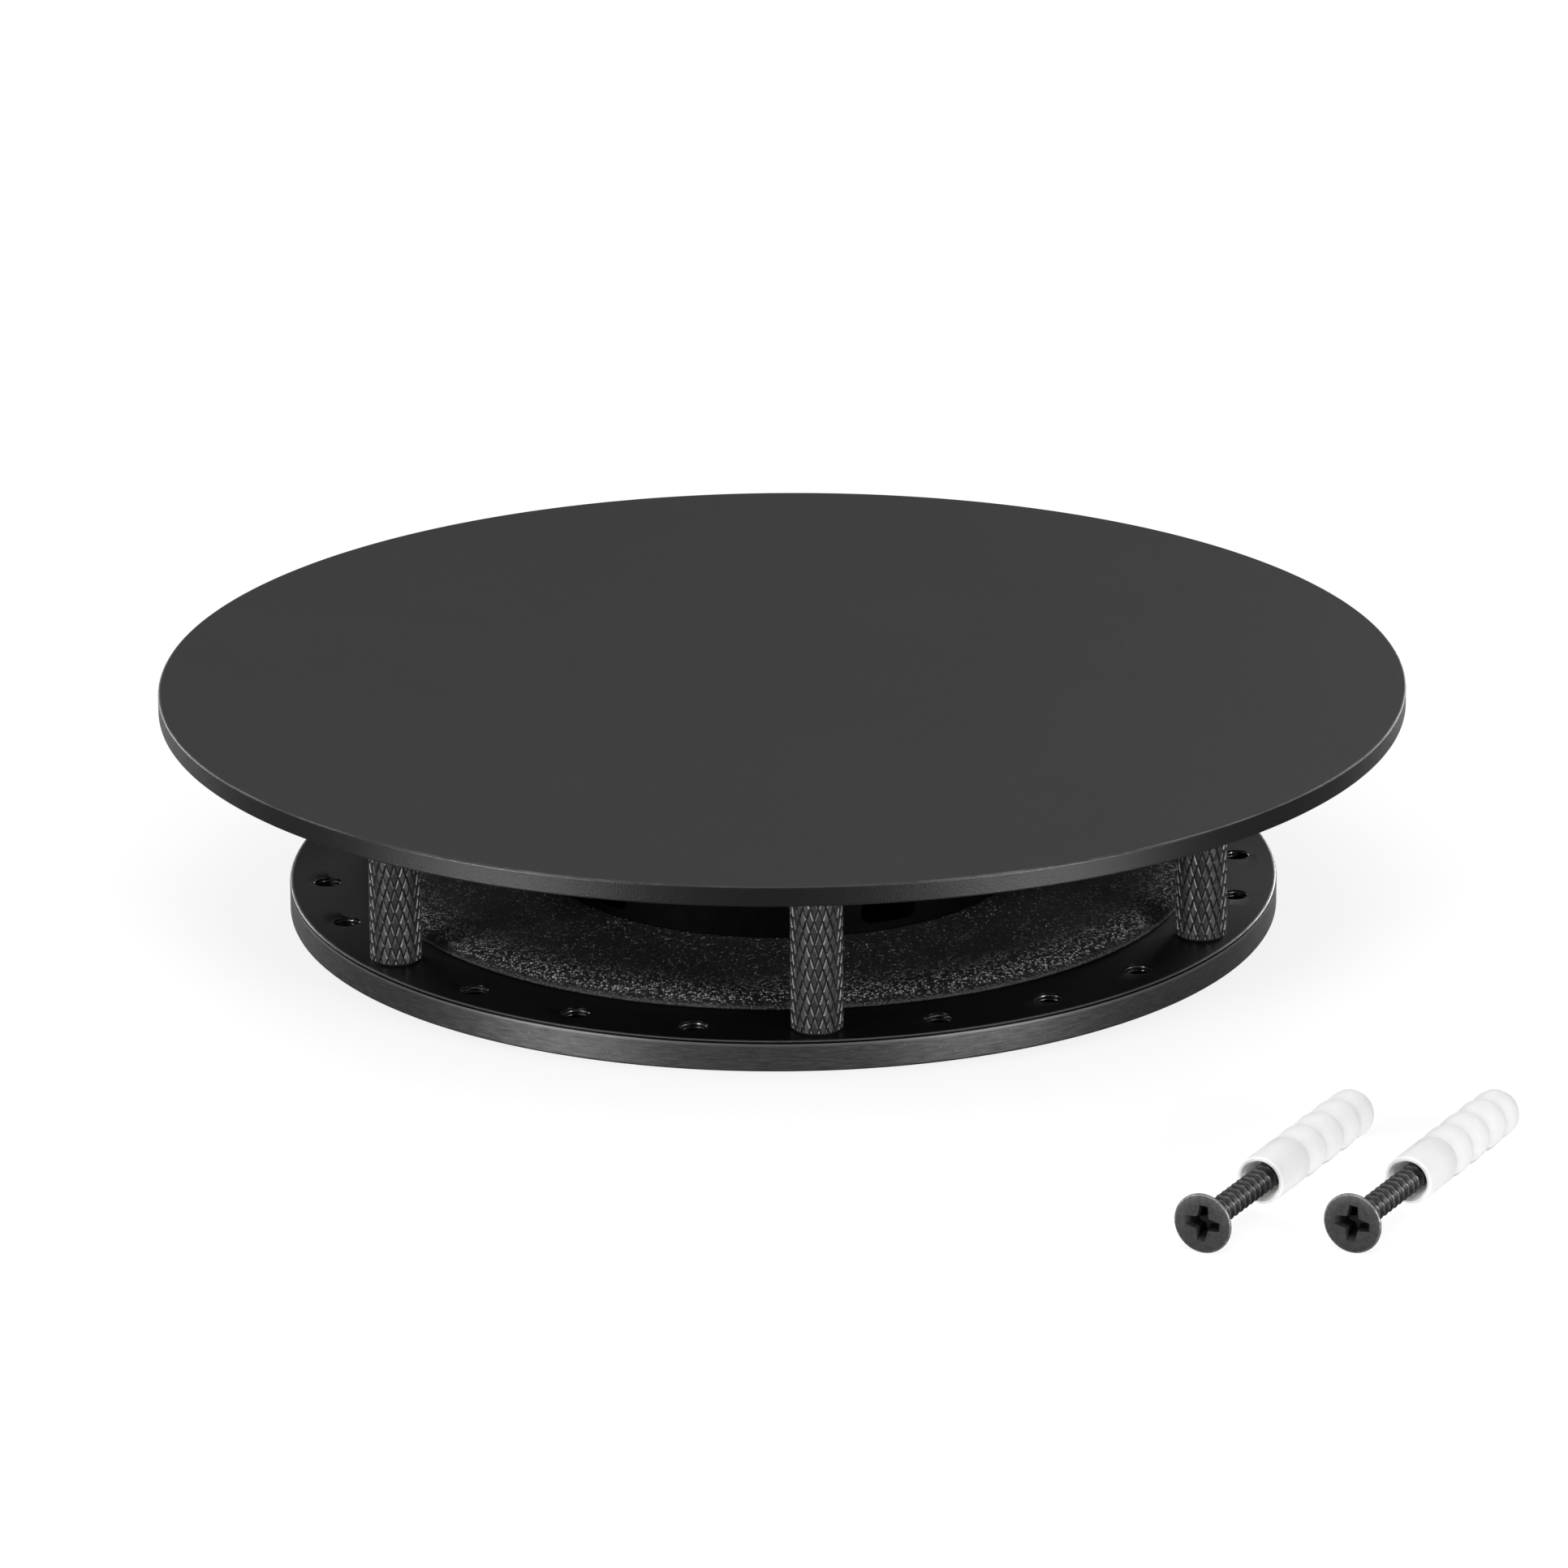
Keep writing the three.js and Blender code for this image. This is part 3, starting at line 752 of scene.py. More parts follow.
def knurl_height(turn, along):
    """0 in a groove, 1 on a diamond's top."""
    return min(1.0, groove_distance(turn, along) / KNURL_FLANK)


def knurl_edge(turn, along):
    """1 on the rim of a diamond's flat top, 0 away from it."""
    return max(0.0, 1 - abs(groove_distance(turn, along) - KNURL_FLANK) / KNURL_RIM)


def pillar_levels(low, high):
    chamfer = PILLAR_CHAMFER
    step = KNURL_LENGTH / KNURL_FINE
    levels = [low, low + chamfer * 0.5, low + chamfer]
    k = math.ceil((low + chamfer) / step + 0.2)
    while k * step < high - chamfer - 0.1:
        levels.append(k * step)
        k += 1
    return levels + [high - chamfer, high - chamfer * 0.5, high]


def knurl_faces(rows, heights, levels):
    """Triangles, each quad split along the diagonal that follows the grooves better."""
    faces = []
    for k in range(len(rows) - 1):
        a, b = rows[k], rows[k + 1]
        z = (levels[k] + levels[k + 1]) / 2
        for i in range(KNURL_COLUMNS):
            j = (i + 1) % KNURL_COLUMNS
            centre = knurl_height((i + 0.5) / KNURL_FINE, z / KNURL_LENGTH)
            rising = (heights[k][i] + heights[k + 1][j]) / 2
            falling = (heights[k][j] + heights[k + 1][i]) / 2
            if abs(rising - centre) <= abs(falling - centre):
                faces += [[a[i], a[j], b[j]], [a[i], b[j], b[i]]]
            else:
                faces += [[a[i], a[j], b[i]], [a[j], b[j], b[i]]]
    return faces


def pillar(name, centre, spin):
    low, high = RING_TOP, DISC_LOW
    levels = pillar_levels(low, high)
    verts, wear, rows, heights = [], [], [], []
    for z in levels:
        near_end = min(z - low, high - z)
        limit = PILLAR_RADIUS - max(0.0, PILLAR_CHAMFER - near_end)
        places = [(i / KNURL_FINE, z / KNURL_LENGTH) for i in range(KNURL_COLUMNS)]
        heights.append([knurl_height(*at) for at in places])
        radii = [min(PILLAR_RADIUS - KNURL_DEPTH * (1 - h), limit) for h in heights[-1]]
        rows.append(add_circle(verts, radii, z, centre, spin))
        knurled_row = near_end > PILLAR_CHAMFER * 0.6
        # diamond rims get a mark for wear and painted highlight
        wear += [knurl_edge(*at) if knurled_row else 0.3 for at in places]
    faces = knurl_faces(rows, heights, levels)

    # a blind bore in each end
    for edge, z, depth in ((rows[0], low, 9.0), (rows[-1], high, -9.0)):
        mouth = add_circle(verts, [2.5] * KNURL_COLUMNS, z, centre, spin)
        wall = add_circle(verts, [2.45] * KNURL_COLUMNS, z + depth, centre, spin)
        wear += [0.4] * (2 * KNURL_COLUMNS)
        faces += bridge([edge, mouth, wall], flip=True)
        faces.append(wall)
    return make(name, verts, faces, sharp=11, wear=wear)


for n in range(PILLAR_COUNT):
    centre = around(HOLE_PITCH_RADIUS, PILLAR_SPACING * n)
    obj = pillar(f"knurled_pillar_{n + 1}", centre, spin=0.37 * n)
    finish_piece(obj, f"pillar_{n + 1}", "head", "knurled_steel")

# ------------------------------------------------------------ studs in the pillars' ends

STUD_CORE, STUD_MAJOR, STUD_PITCH, STUD_CHAMFER = 2.0, 2.38, 0.8, 0.5
STUD_COLUMNS, STUD_STEPS = 20, 5


def threaded_rod(name, centre, low, high):
    verts, rows = [], []
    count = max(2, int(round((high - low) / (STUD_PITCH / STUD_STEPS))))
    for k in range(count + 1):
        z = low + (high - low) * k / count
        limit = STUD_MAJOR - max(0.0, STUD_CHAMFER - min(z - low, high - z))
        radii = []
        for i in range(STUD_COLUMNS):
            phase = thread_phase(z, STUD_PITCH, i, STUD_COLUMNS)
            radius = STUD_CORE + (STUD_MAJOR - STUD_CORE) * (1 - abs(2 * phase - 1))
            radii.append(min(radius, limit))
        rows.append(add_circle(verts, radii, z, centre))
    return make(name, verts, bridge(rows) + [rows[0][::-1], rows[-1]], sharp=40)


for n in range(PILLAR_COUNT):
    centre = around(HOLE_PITCH_RADIUS, PILLAR_SPACING * n)
    for node in (f"ring_stud_{n + 1}", f"disc_stud_{n + 1}"):
        low, high = mm_box(node)
        stud = threaded_rod(f"threaded_{node}", centre, low.z, high.z)
        finish_piece(stud, node, "head", "zinc_steel")

# ------------------------------------------------------------ base pan

PAN_UNDER = 6.7  # underside of the overhanging top
PAN_SLOPE_WIDTH, PAN_SLOPE_DROP = 6.0, 1.6
PAN_TOP_STEP = 0.42  # between the rows of the coated top
PAN_FLOOR = 3.7  # of the recess under the centre cap
GRAIN_HEIGHT = 0.11


def build_pan():
    # (radius, z), outwards along the underside
    profile = [
        (0, PAN_LOW), (15, PAN_LOW), (30, PAN_LOW), (38.9, PAN_LOW), (39.2, PAN_LOW + 0.3),
        (39.2, PAN_UNDER), (46.5, PAN_UNDER), (46.5, PAN_LOW + 0.3), (46.8, PAN_LOW),
        (52.0, PAN_LOW), (52.3, PAN_LOW + 0.3),
        # the inner race clip's groove
        (52.3, CLIP_LOW - 0.15), (51.45, CLIP_LOW - 0.15),
        (51.45, CLIP_HIGH + 0.15), (52.3, CLIP_HIGH + 0.15),
        (52.3, PAN_UNDER), (58, PAN_UNDER), (63, PAN_UNDER),
        (PAN_RADIUS - 0.15, PAN_UNDER), (PAN_RADIUS, PAN_UNDER + 0.15),
    ]
    for i in range(19):
        angle = math.radians(5 * i)
        radius = PAN_RADIUS - PAN_SLOPE_WIDTH + PAN_SLOPE_WIDTH * math.cos(angle)
        profile.append((radius, PAN_TOP - PAN_SLOPE_DROP + PAN_SLOPE_DROP * math.sin(angle)))
    top_start = PAN_RADIUS - PAN_SLOPE_WIDTH - PAN_TOP_STEP
    profile += [(radius, PAN_TOP) for radius in np.arange(top_start, 37.0, -PAN_TOP_STEP)]
    profile += [(36.5, PAN_TOP), (36.2, PAN_TOP - 0.3)]
    profile += [(radius, PAN_FLOOR) for radius in (36.2, 30, 15, 0)]
    pan = lathe("granular_base_pan", profile, segments=900, sharp=50)

    # coarse grains raised on the coated top and edge
    for vert in pan.data.vertices:
        at = vert.co
        if at.z / MM > PAN_UNDER + 0.2 and math.hypot(at.x, at.y) / MM > 39.3:
            grain = noise.noise(at * 1500.0) * 0.6 + noise.noise(at * 2600.0) * 0.4
            vert.co.z += GRAIN_HEIGHT * (grain - 0.6) * MM

    countersunk = [(0, 0.2), (2.6, 0.2), (2.6, 1.4), (4.8, 3.7), (4.8, 4.6), (0, 4.6)]
    cut(pan, side_holes(countersunk, segments=48), sharp=50)
    finish_piece(pan, "base_pan", "base", "pan_granular")


build_pan()

# ------------------------------------------------------------ centre cap

SPIGOT_RADIUS = 35.9
CAP_WALL = 2
CAP_ROUND = 1.2
SLOT_COUNT, SLOT_FIRST_ANGLE = 5, 21.4
SLOT_HALF_WIDTH, SLOT_LOW, SLOT_HIGH, SLOT_CORNER = 4.8, 10.1, 14.1, 1.7


def slot_cutter(k):
    """A rounded bar through the cap's side."""
    side = SLOT_HALF_WIDTH - SLOT_CORNER
    low, high = SLOT_LOW + SLOT_CORNER, SLOT_HIGH - SLOT_CORNER
    outline = []
    for x, z, start in ((side, low, -90), (side, high, 0), (-side, high, 90), (-side, low, 180)):
        outline += arc(x, z, SLOT_CORNER, start, start + 90, 6)
    verts = []
    outside = add_points(verts, [(x, -(CAP_RADIUS + 3), z) for x, z in outline])
    inside = add_points(verts, [(x, -(CAP_RADIUS - 9), z) for x, z in outline])
    faces = [outside, inside[::-1]] + bridge([outside, inside], flip=True)
    turn = math.radians(SLOT_FIRST_ANGLE + 360 // SLOT_COUNT * k)
    return place(make("cutter", verts, faces), Matrix.Rotation(turn, 4, "Z"))


def build_cap():
    inner = SPIGOT_RADIUS - CAP_WALL
    ceiling = CAP_TOP - CAP_WALL
    profile = [
        (inner, CAP_LOW), (SPIGOT_RADIUS - 0.3, CAP_LOW), (SPIGOT_RADIUS, CAP_LOW + 0.3),
        (SPIGOT_RADIUS, PAN_TOP + 0.02), (CAP_RADIUS - 0.25, PAN_TOP + 0.02),
        (CAP_RADIUS, PAN_TOP + 0.27),
    ]
    profile += arc(CAP_RADIUS - CAP_ROUND, CAP_TOP - CAP_ROUND, CAP_ROUND, 0, 90, 8)
    profile += [(30, CAP_TOP), (15, CAP_TOP), (0, CAP_TOP), (0, ceiling), (15, ceiling)]
    profile += [(inner - 0.5, ceiling), (inner, CAP_TOP - 2.5)]
    cap = lathe("smooth_centre_cap", profile, segments=240, sharp=30)
    cut(cap, [slot_cutter(k) for k in range(SLOT_COUNT)], sharp=30)
    finish_piece(cap, "centre_cap", "base", "cap_satin")


build_cap()

# ------------------------------------------------------------ foot pad

PAD_RADIUS = 52.0
PAD_CHAMFER = 0.25


def build_foot_pad():
    top = mm_box("foot_pad")[1].z
    profile = [(0, 0), (20, 0)]
    for groove in (34.0, 40.0, 46.0):
        profile += [(groove - 0.7, 0), (groove - 0.45, 0.3), (groove + 0.45, 0.3)]
        profile += [(groove + 0.7, 0)]
    profile += [(PAD_RADIUS - PAD_CHAMFER, 0), (PAD_RADIUS, PAD_CHAMFER)]
    profile += [(PAD_RADIUS, top - PAD_CHAMFER), (PAD_RADIUS - PAD_CHAMFER, top)]
    profile += [(30, top), (0, top)]
    pad = lathe("rubber_foot_pad", profile)
    cut(pad, side_holes([(0, -1), (2.8, -1), (2.8, 3), (0, 3)], segments=40))
    finish_piece(pad, "foot_pad", "base", "foot_rubber")


build_foot_pad()

# ------------------------------------------------------------ races, clips, cage and balls

RACE_HALF = 1.8  # half height
RACE_GROOVE = 1.69  # radius of the groove's section
RACE_GAP = 0.75  # from the balls' pitch circle to a race's shoulder
INNER_RACE_BORE, OUTER_RACE_RADIUS = 52.45, 61.45


def build_races():
    low, high = BALL_Z - RACE_HALF, BALL_Z + RACE_HALF
    open_angle = math.degrees(math.acos(RACE_GAP / RACE_GROOVE))

    def groove(middle):
        start, end = middle + open_angle, middle - open_angle
        return arc(BALL_PITCH_RADIUS, BALL_Z, RACE_GROOVE, start, end, 12)

    shoulder = BALL_PITCH_RADIUS - RACE_GAP
    profile = [(INNER_RACE_BORE, low), (shoulder, low), *groove(180)]
    profile += [(shoulder, high), (INNER_RACE_BORE, high)]
    race = lathe("ground_inner_race", profile, segments=240)
    finish_piece(race, "inner_race", "base", "bearing_steel")

    shoulder = BALL_PITCH_RADIUS + RACE_GAP
    profile = [(shoulder, low), (OUTER_RACE_RADIUS, low), (OUTER_RACE_RADIUS, high)]
    profile += [(shoulder, high), *groove(0)]
    race = lathe("ground_outer_race", profile, segments=240)
    finish_piece(race, "outer_race", "head", "bearing_steel")


def section(inner, outer, low, high):
    return [(inner, low), (outer, low), (outer, high), (inner, high)]


def build_clip(node, body, inner, outer):
    """A flat ring with a gap on its +Y side."""
    clip = lathe("spring_" + node, section(inner, outer, CLIP_LOW, CLIP_HIGH))
    cut(clip, [prism("cutter", rectangle(3.5, inner - 5, outer + 5), 0, 4)])
    finish_piece(clip, node, body, "black_steel")


def build_cage():
    wall_half, half_height, pocket_radius, pocket_reach = 0.5, 2.2, 1.8, 2.5
    inner, outer = BALL_PITCH_RADIUS - wall_half, BALL_PITCH_RADIUS + wall_half
    profile = section(inner, outer, BALL_Z - half_height, BALL_Z + half_height)
    cage = lathe("moulded_ball_cage", profile, segments=240)
    near_end, far_end = BALL_PITCH_RADIUS - pocket_reach, BALL_PITCH_RADIUS + pocket_reach
    pocket = [(0, near_end), (pocket_radius, near_end), (pocket_radius, far_end), (0, far_end)]
    cutters = []
    for n in range(BALL_COUNT):
        turn = Matrix.Rotation(math.radians(360 / BALL_COUNT * n), 4, "Z")
        lift = Matrix.Translation((0, 0, BALL_Z * MM))
        lay = Matrix.Rotation(math.radians(90), 4, "X")
        cutters.append(place(lathe("cutter", pocket, segments=24), turn @ lift @ lay))
    cut(cage, cutters)
    finish_piece(cage, "ball_cage", "cage", "cage_polymer")


def build_balls():
    profile = [(0, BALL_Z - BALL_RADIUS)]
    profile += arc(0, BALL_Z, BALL_RADIUS, -78, 78, 13)
    profile += [(0, BALL_Z + BALL_RADIUS)]
    for n in range(BALL_COUNT):
        centre = around(BALL_PITCH_RADIUS, 360 / BALL_COUNT * n)
        ball = lathe(f"steel_ball_{n + 1:02d}", profile, segments=28, centre=centre)
        finish_piece(ball, f"ball_{n + 1:02d}", "cage", "bearing_steel")


build_races()
build_clip("inner_race_clip", "base", inner=51.6, outer=53.6)
build_clip("outer_race_clip", "head", inner=60.3, outer=62.2)
build_cage()
build_balls()

# ------------------------------------------------------------ screws and wall plugs

# Both are built along +Z from the screw head's top face at 0, then laid on the floor.
KIT_ANGLE = 58.3
KIT_HEADS = [(50.5, -155.3), (72.35, -157.2)]  # x, y of each head
HEAD_RADIUS, SCREW_LENGTH = 4.6, 40.0
PLUG_RADIUS, PLUG_MOUTH, PLUG_LENGTH = 3.85, 19.9, 34.2
PLUG_END = PLUG_MOUTH + PLUG_LENGTH
KIT_TILT = math.asin((HEAD_RADIUS - PLUG_RADIUS) / (PLUG_MOUTH + PLUG_LENGTH))

SCREW_COLUMNS, SCREW_STEPS = 40, 9
SCREW_PITCH, SCREW_CORE, SCREW_MAJOR = 1.75, 1.48, 2.1
SCREW_NECK, NECK_RADIUS = 2.85, 1.9
POINT_LENGTH = 5.0
SCREW_HEAD = (  # radius, z, mark for wear and painted highlight
    (1.2, 0, 0), (2.8, 0, 0), (HEAD_RADIUS - 0.3, 0, 0.1), (HEAD_RADIUS - 0.1, 0.04, 1.0),
    (HEAD_RADIUS, 0.16, 1.0), (HEAD_RADIUS, 0.34, 0.8), (HEAD_RADIUS - 0.15, 0.48, 0.2),
    (3.3, 1.6, 0), (2.3, 2.6, 0), (NECK_RADIUS, SCREW_NECK, 0),
)
CROSS_REACH, CROSS_HALF = 3.05, 0.7  # the cross recess's arms

PLUG_BORE = 2.55
COLLAR_LENGTH, RIB_LENGTH = 9.6, 6.2
PLUG_RIB = (  # a valley, a rise, a long crest and a short fall, as (offset to the radius, z)
    (-0.34, 0.5), (-0.36, 1.1), (-0.12, 2.3), (0, 3.4), (0.02, 5.0), (-0.08, 5.9),
)


def kit_matrix(x, y):
    return (
        Matrix.Translation((x * MM, y * MM, HEAD_RADIUS * math.cos(KIT_TILT) * MM))
        @ Matrix.Rotation(math.radians(KIT_ANGLE), 4, "Z")
        @ Matrix.Rotation(math.pi / 2 + KIT_TILT, 4, "Y")
    )


def cross_cutter():
    """Four wings that narrow with depth round a central core."""
    reach, half, core = CROSS_REACH, CROSS_HALF, CROSS_HALF * 1.5
    outline = [
        (reach, -half), (reach, half), (core, core), (half, reach), (-half, reach),
        (-core, core), (-reach, half), (-reach, -half), (-core, -core), (-half, -reach),
        (half, -reach), (core, -core),
    ]
    cross = prism("cutter", outline, low=-0.35, high=2.15, scale_high=0.46)
    return place(cross, Matrix.Rotation(math.radians(4), 4, "Z"))


def screw_body(name):
    """A cone head, a wood-screw thread and a point."""
    verts, rows, wear = [], [], []
    for radius, z, row_wear_and_highlight in SCREW_HEAD:
        rows.append(add_circle(verts, [radius] * SCREW_COLUMNS, z))
        wear += [row_wear_and_highlight] * SCREW_COLUMNS
    count = int((SCREW_LENGTH - 0.25 - SCREW_NECK) / (SCREW_PITCH / SCREW_STEPS))
    for k in range(1, count + 1):
        z = SCREW_NECK + k * SCREW_PITCH / SCREW_STEPS
        grow = min(1.0, (z - SCREW_NECK) / 1.6)
        taper = 1.0
        if z >= SCREW_LENGTH - POINT_LENGTH:
            taper = max(0.1, (SCREW_LENGTH - z) / POINT_LENGTH)
        base = SCREW_CORE + (NECK_RADIUS - SCREW_CORE) * max(0.0, 1 - (z - SCREW_NECK) / 1.2)
        radii = []
        for i in range(SCREW_COLUMNS):
            phase = thread_phase(z, SCREW_PITCH, i, SCREW_COLUMNS)
            crest = max(0.0, 1 - abs(phase - 0.5) / 0.26)
            radii.append(min(SCREW_MAJOR, base + (SCREW_MAJOR - base) * crest * grow) * taper)
            # the thread crests get a mark for wear and painted highlight
            wear.append(0.85 * max(0.0, crest - 0.6) / 0.4)
        rows.append(add_circle(verts, radii, z))
    faces = bridge(rows, flip=True)
    top, end = add_points(verts, [(0, 0, 0), (0, 0, SCREW_LENGTH)])
    wear += [0, 0.5]
    for i in range(SCREW_COLUMNS):
        j = (i + 1) % SCREW_COLUMNS
        faces += [[top, rows[0][i], rows[0][j]], [end, rows[-1][j], rows[-1][i]]]
    screw = make(name, verts, faces, sharp=38, wear=wear)
    cut(screw, [cross_cutter()], sharp=38)
    # painted shade in the recess: its lower points carry a negative mark
    values = screw.data.attributes["wear"].data
    for vert in screw.data.vertices:
        at = vert.co
        if 0.08 * MM < at.z < 2.3 * MM and math.hypot(at.x, at.y) < 2.4 * MM:
            values[vert.index].value = -1.0
    return screw


def plug_body(name):
    """A ribbed tube with a slit through both walls."""
    mouth, end = PLUG_MOUTH, PLUG_END
    profile = [(PLUG_BORE, mouth + 2.0), (3.1, mouth + 0.15), (3.2, mouth)]
    collar = ((-0.32, 0), (-0.08, 0.25), (-0.06, 5), (-0.06, COLLAR_LENGTH))
    profile += [(PLUG_RADIUS + offset, mouth + z) for offset, z in collar]
    start = mouth + COLLAR_LENGTH
    while start + RIB_LENGTH < end - 1.5:
        profile += [(PLUG_RADIUS + offset, start + z) for offset, z in PLUG_RIB]
        start += RIB_LENGTH
    last_rise = ((-0.36, 0.5), (-0.34, 1.2), (-0.16, 2.4))
    profile += [(PLUG_RADIUS + offset, start + z) for offset, z in last_rise]
    nose = ((-0.1, 2.2), (-0.25, 0.9), (-0.6, 0.2), (-0.8, 0))
    profile += [(PLUG_RADIUS + offset, end - z) for offset, z in nose]
    profile += [(PLUG_BORE + 0.1, end), (PLUG_BORE, end - 0.2)]
    plug = lathe(name, profile, segments=64, sharp=34)
    slit_end = end - 4
    slit = prism("cutter", rectangle(0.4, -6, 6), slit_end - 20, slit_end)
    cut(plug, [place(slit, Matrix.Rotation(math.radians(45), 4, "Z"))], sharp=34)
    return plug


for n, (x, y) in enumerate(KIT_HEADS, 1):
    laid = kit_matrix(x, y)
    screw = place(screw_body(f"cross_head_screw_{n}"), laid)
    finish_piece(screw, f"fixing_screw_{n}", f"screw_{n}", "black_steel")
    plug = place(plug_body(f"ribbed_wall_plug_{n}"), laid)
    finish_piece(plug, f"wall_plug_{n}", "base", "plug_nylon")

# ------------------------------------------------------------ floor and world


def floor_material():
    """Pale and glowing to the camera, darker to other rays, and clear from below."""
    mat = Mat("floor_pale")
    seen = mat.node("ShaderNodeLightPath", {}).outputs["Is Camera Ray"]
    mat.set("Base Color", mat.mix(seen, (0.22, 0.22, 0.22), (0.3, 0.3, 0.3)))
    mat.set("Roughness", 0.9)
    mat.set("Specular IOR Level", 0.1)
    mat.set("Emission Color", (1, 1, 1, 1))
    mat.set("Emission Strength", mat.times(seen, 0.82))
    back = mat.node("ShaderNodeNewGeometry", {}).outputs["Backfacing"]
    clear = mat.node("ShaderNodeBsdfTransparent", {}).outputs[0]
    both = mat.node("ShaderNodeMixShader", {0: back, 1: mat.shader.outputs[0], 2: clear})
    mat.feed(mat.output.inputs[0], both.outputs[0])
    return mat.material


def build_floor():
    mesh = bpy.data.meshes.new("floor")
    mesh.from_pydata([(-4, -4, 0), (4, -4, 0), (4, 4, 0), (-4, 4, 0)], [], [[0, 1, 2, 3]])
    floor = bpy.data.objects.new("floor", mesh)
    floor.location.z = -0.00005
    bpy.context.scene.collection.objects.link(floor)
    mesh.materials.append(floor_material())


def build_world():
    """White to the camera, dim to other rays."""
    world = bpy.data.worlds.new("studio")
    bpy.context.scene.world = world
    world.use_nodes = True
    tree = world.node_tree
    background = tree.nodes["Background"]
    background.inputs[0].default_value = (1, 1, 1, 1)
    path = tree.nodes.new("ShaderNodeLightPath")
    level = tree.nodes.new("ShaderNodeMapRange")
    level.inputs["To Min"].default_value = 0.13
    level.inputs["To Max"].default_value = 1.0
    tree.links.new(path.outputs["Is Camera Ray"], level.inputs["Value"])
    tree.links.new(level.outputs["Result"], background.inputs[1])


build_floor()
build_world()

# ------------------------------------------------------------ lights, in metres and watts


def area_lamp(name, location, facing, size, power):
    """A rectangular lamp whose back looks along facing."""
    light = bpy.data.lights.new(name, "AREA")
    light.shape = "RECTANGLE"
    light.size, light.size_y = size
    light.energy = power
    lamp = bpy.data.objects.new(name, light)
    lamp.location = location
    lamp.rotation_mode = "QUATERNION"
    lamp.rotation_quaternion = facing.to_track_quat("Z", "Y")
    bpy.context.scene.collection.objects.link(lamp)
    return lamp


def softbox(name, azimuth, elevation, distance, size, power):
    """A lamp aimed at the wheel. Azimuth 0 is the -Y side, and it grows towards +X."""
    target = Vector((0, 0, 0.02))
    turn, rise = math.radians(azimuth), math.radians(elevation)
    direction = Vector(
        (math.sin(turn) * math.cos(rise), -math.cos(turn) * math.cos(rise), math.sin(rise))
    )
    location = target + distance * direction
    return area_lamp(name, location, location - target, size, power)


def collect(name, *prefixes):
    """A collection of the objects whose names start with one of the prefixes."""
    collection = bpy.data.collections.new(name)
    for obj in bpy.data.objects:
        if obj.name.startswith(prefixes):
            collection.objects.link(obj)
    return collection


LAMPS = (  # name, azimuth, elevation, distance, size, power
    ("softbox_left", -54, 9, 1.5, (0.75, 0.45), 20),
    ("softbox_right", 41, 9, 1.5, (0.75, 0.45), 19),
    ("softbox_rim_left", -142, 8, 1.6, (0.8, 0.5), 11),
    ("softbox_rim_right", 142, 8, 1.6, (0.8, 0.5), 13),
    ("softbox_top", 0, 72, 1.6, (1.2, 1.2), 8),
    ("softbox_back", 180, 50, 1.8, (2.0, 1.0), 7),
)
PILLAR_LAMPS = (
    ("softbox_pillars_left", -165, 6, 1.5, (0.8, 0.5), 14),
    ("softbox_pillars_right", 165, 6, 1.5, (0.8, 0.5), 14),
)
FILL_DISTANCE = 0.9
SIDE_FILL_POWER, END_FILL_POWER = 11.6, 0.8


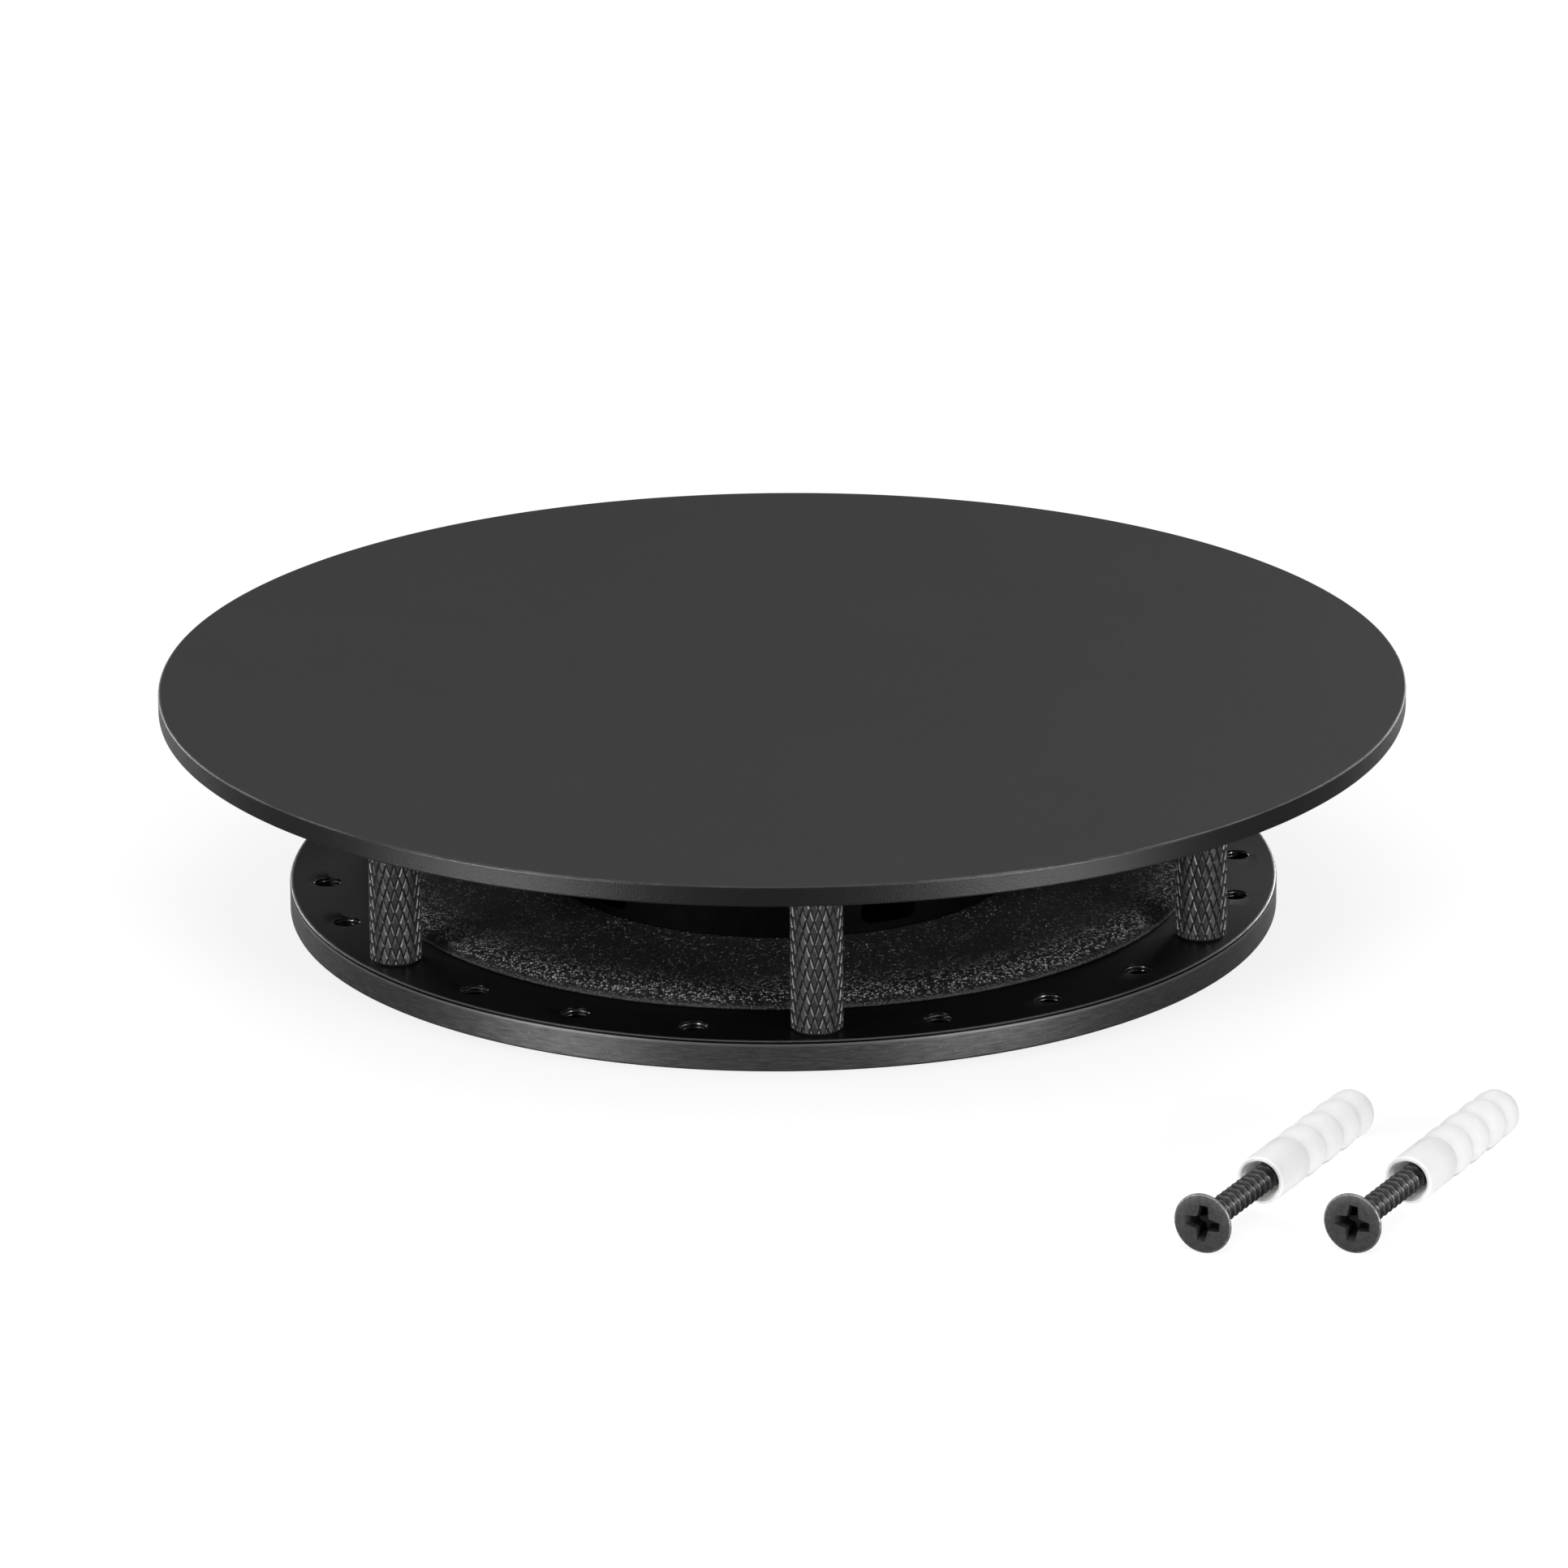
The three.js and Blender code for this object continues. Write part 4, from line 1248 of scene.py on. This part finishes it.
def build_lamps():
    lamps = [softbox(*row) for row in LAMPS]
    # the translucent plugs glow evenly: fills that reach only them replace the lamps above
    plugs = collect("plugs", "ribbed_wall_plug")
    others = collect("all_but_plugs", "ribbed_wall_plug")
    for item in others.collection_objects:
        item.light_linking.link_state = "EXCLUDE"
    for lamp in lamps:
        lamp.light_linking.receiver_collection = others
    # the two low lamps behind only edge the disc and the ring
    edges = collect("lit_edges", "wheel_head_disc", "drilled_pillar_ring")
    for lamp in lamps[2:4]:
        lamp.light_linking.receiver_collection = edges
    # the knurl also reads from behind
    pillars = collect("pillars_behind", "knurled_pillar")
    for row in PILLAR_LAMPS:
        softbox(*row).light_linking.receiver_collection = pillars

    # three fills round the plugs' axis and a weak one at its far end
    kit = collect("kit", "ribbed_wall_plug", "cross_head_screw")
    turn = math.radians(KIT_ANGLE)
    axis = Vector((math.cos(turn), math.sin(turn), 0))
    up = Vector((0, 0, 1))
    side = axis.cross(up)
    middle = Vector((0.075, -0.135, 0.004))
    fills = []
    for degrees in (-30, 90, 210):
        angle = math.radians(degrees)
        direction = -0.29 * axis + 0.957 * (math.cos(angle) * side + math.sin(angle) * up)
        fills.append((direction, SIDE_FILL_POWER))
    fills.append((axis, END_FILL_POWER))
    for n, (direction, power) in enumerate(fills, 1):
        location = middle + FILL_DISTANCE * direction
        lamp = area_lamp(f"plug_fill_{n}", location, direction, (0.9, 0.9), power)
        lamp.light_linking.receiver_collection = plugs
        lamp.light_linking.blocker_collection = kit


build_lamps()

# ------------------------------------------------------------ camera

LENS, SENSOR_WIDTH = 216.56832298, 36
CAMERA_DISTANCE = 1.5266
CAMERA_TARGET = Vector((0, 0, 0.0015))
CAMERA_ELEVATION = math.radians(19.735)
CAMERA_TURN = math.radians(-3.938)  # of the whole view about Z
# small turns away from the target
TILT_UP = math.radians(0.6888471896)
YAW = math.radians(-0.008281945273)
ROLL = math.radians(0.391)


def build_camera():
    sine, cosine = math.sin(CAMERA_ELEVATION), math.cos(CAMERA_ELEVATION)
    forward, up, right = Vector((0, cosine, -sine)), Vector((0, sine, cosine)), Vector((1, 0, 0))
    position = CAMERA_TARGET - CAMERA_DISTANCE * forward
    tilt = Matrix.Rotation(TILT_UP, 3, right)
    forward, up = tilt @ forward, tilt @ up
    yaw = Matrix.Rotation(YAW, 3, up)
    forward, right = yaw @ forward, yaw @ right
    roll = Matrix.Rotation(ROLL, 3, forward)
    up, right = roll @ up, roll @ right
    turn = Matrix.Rotation(CAMERA_TURN, 3, "Z")
    position, forward, up, right = [turn @ v for v in (position, forward, up, right)]
    basis = Matrix((right, up, -forward)).transposed()
    data = bpy.data.cameras.new("camera")
    data.lens = LENS
    data.sensor_width = SENSOR_WIDTH
    data.clip_start, data.clip_end = 0.05, 50
    camera = bpy.data.objects.new("camera", data)
    camera.matrix_world = Matrix.Translation(position) @ basis.to_4x4()
    bpy.context.scene.collection.objects.link(camera)
    bpy.context.scene.camera = camera


build_camera()

bpy.context.scene.view_settings.view_transform = "Standard"
bpy.context.scene.view_settings.look = "None"
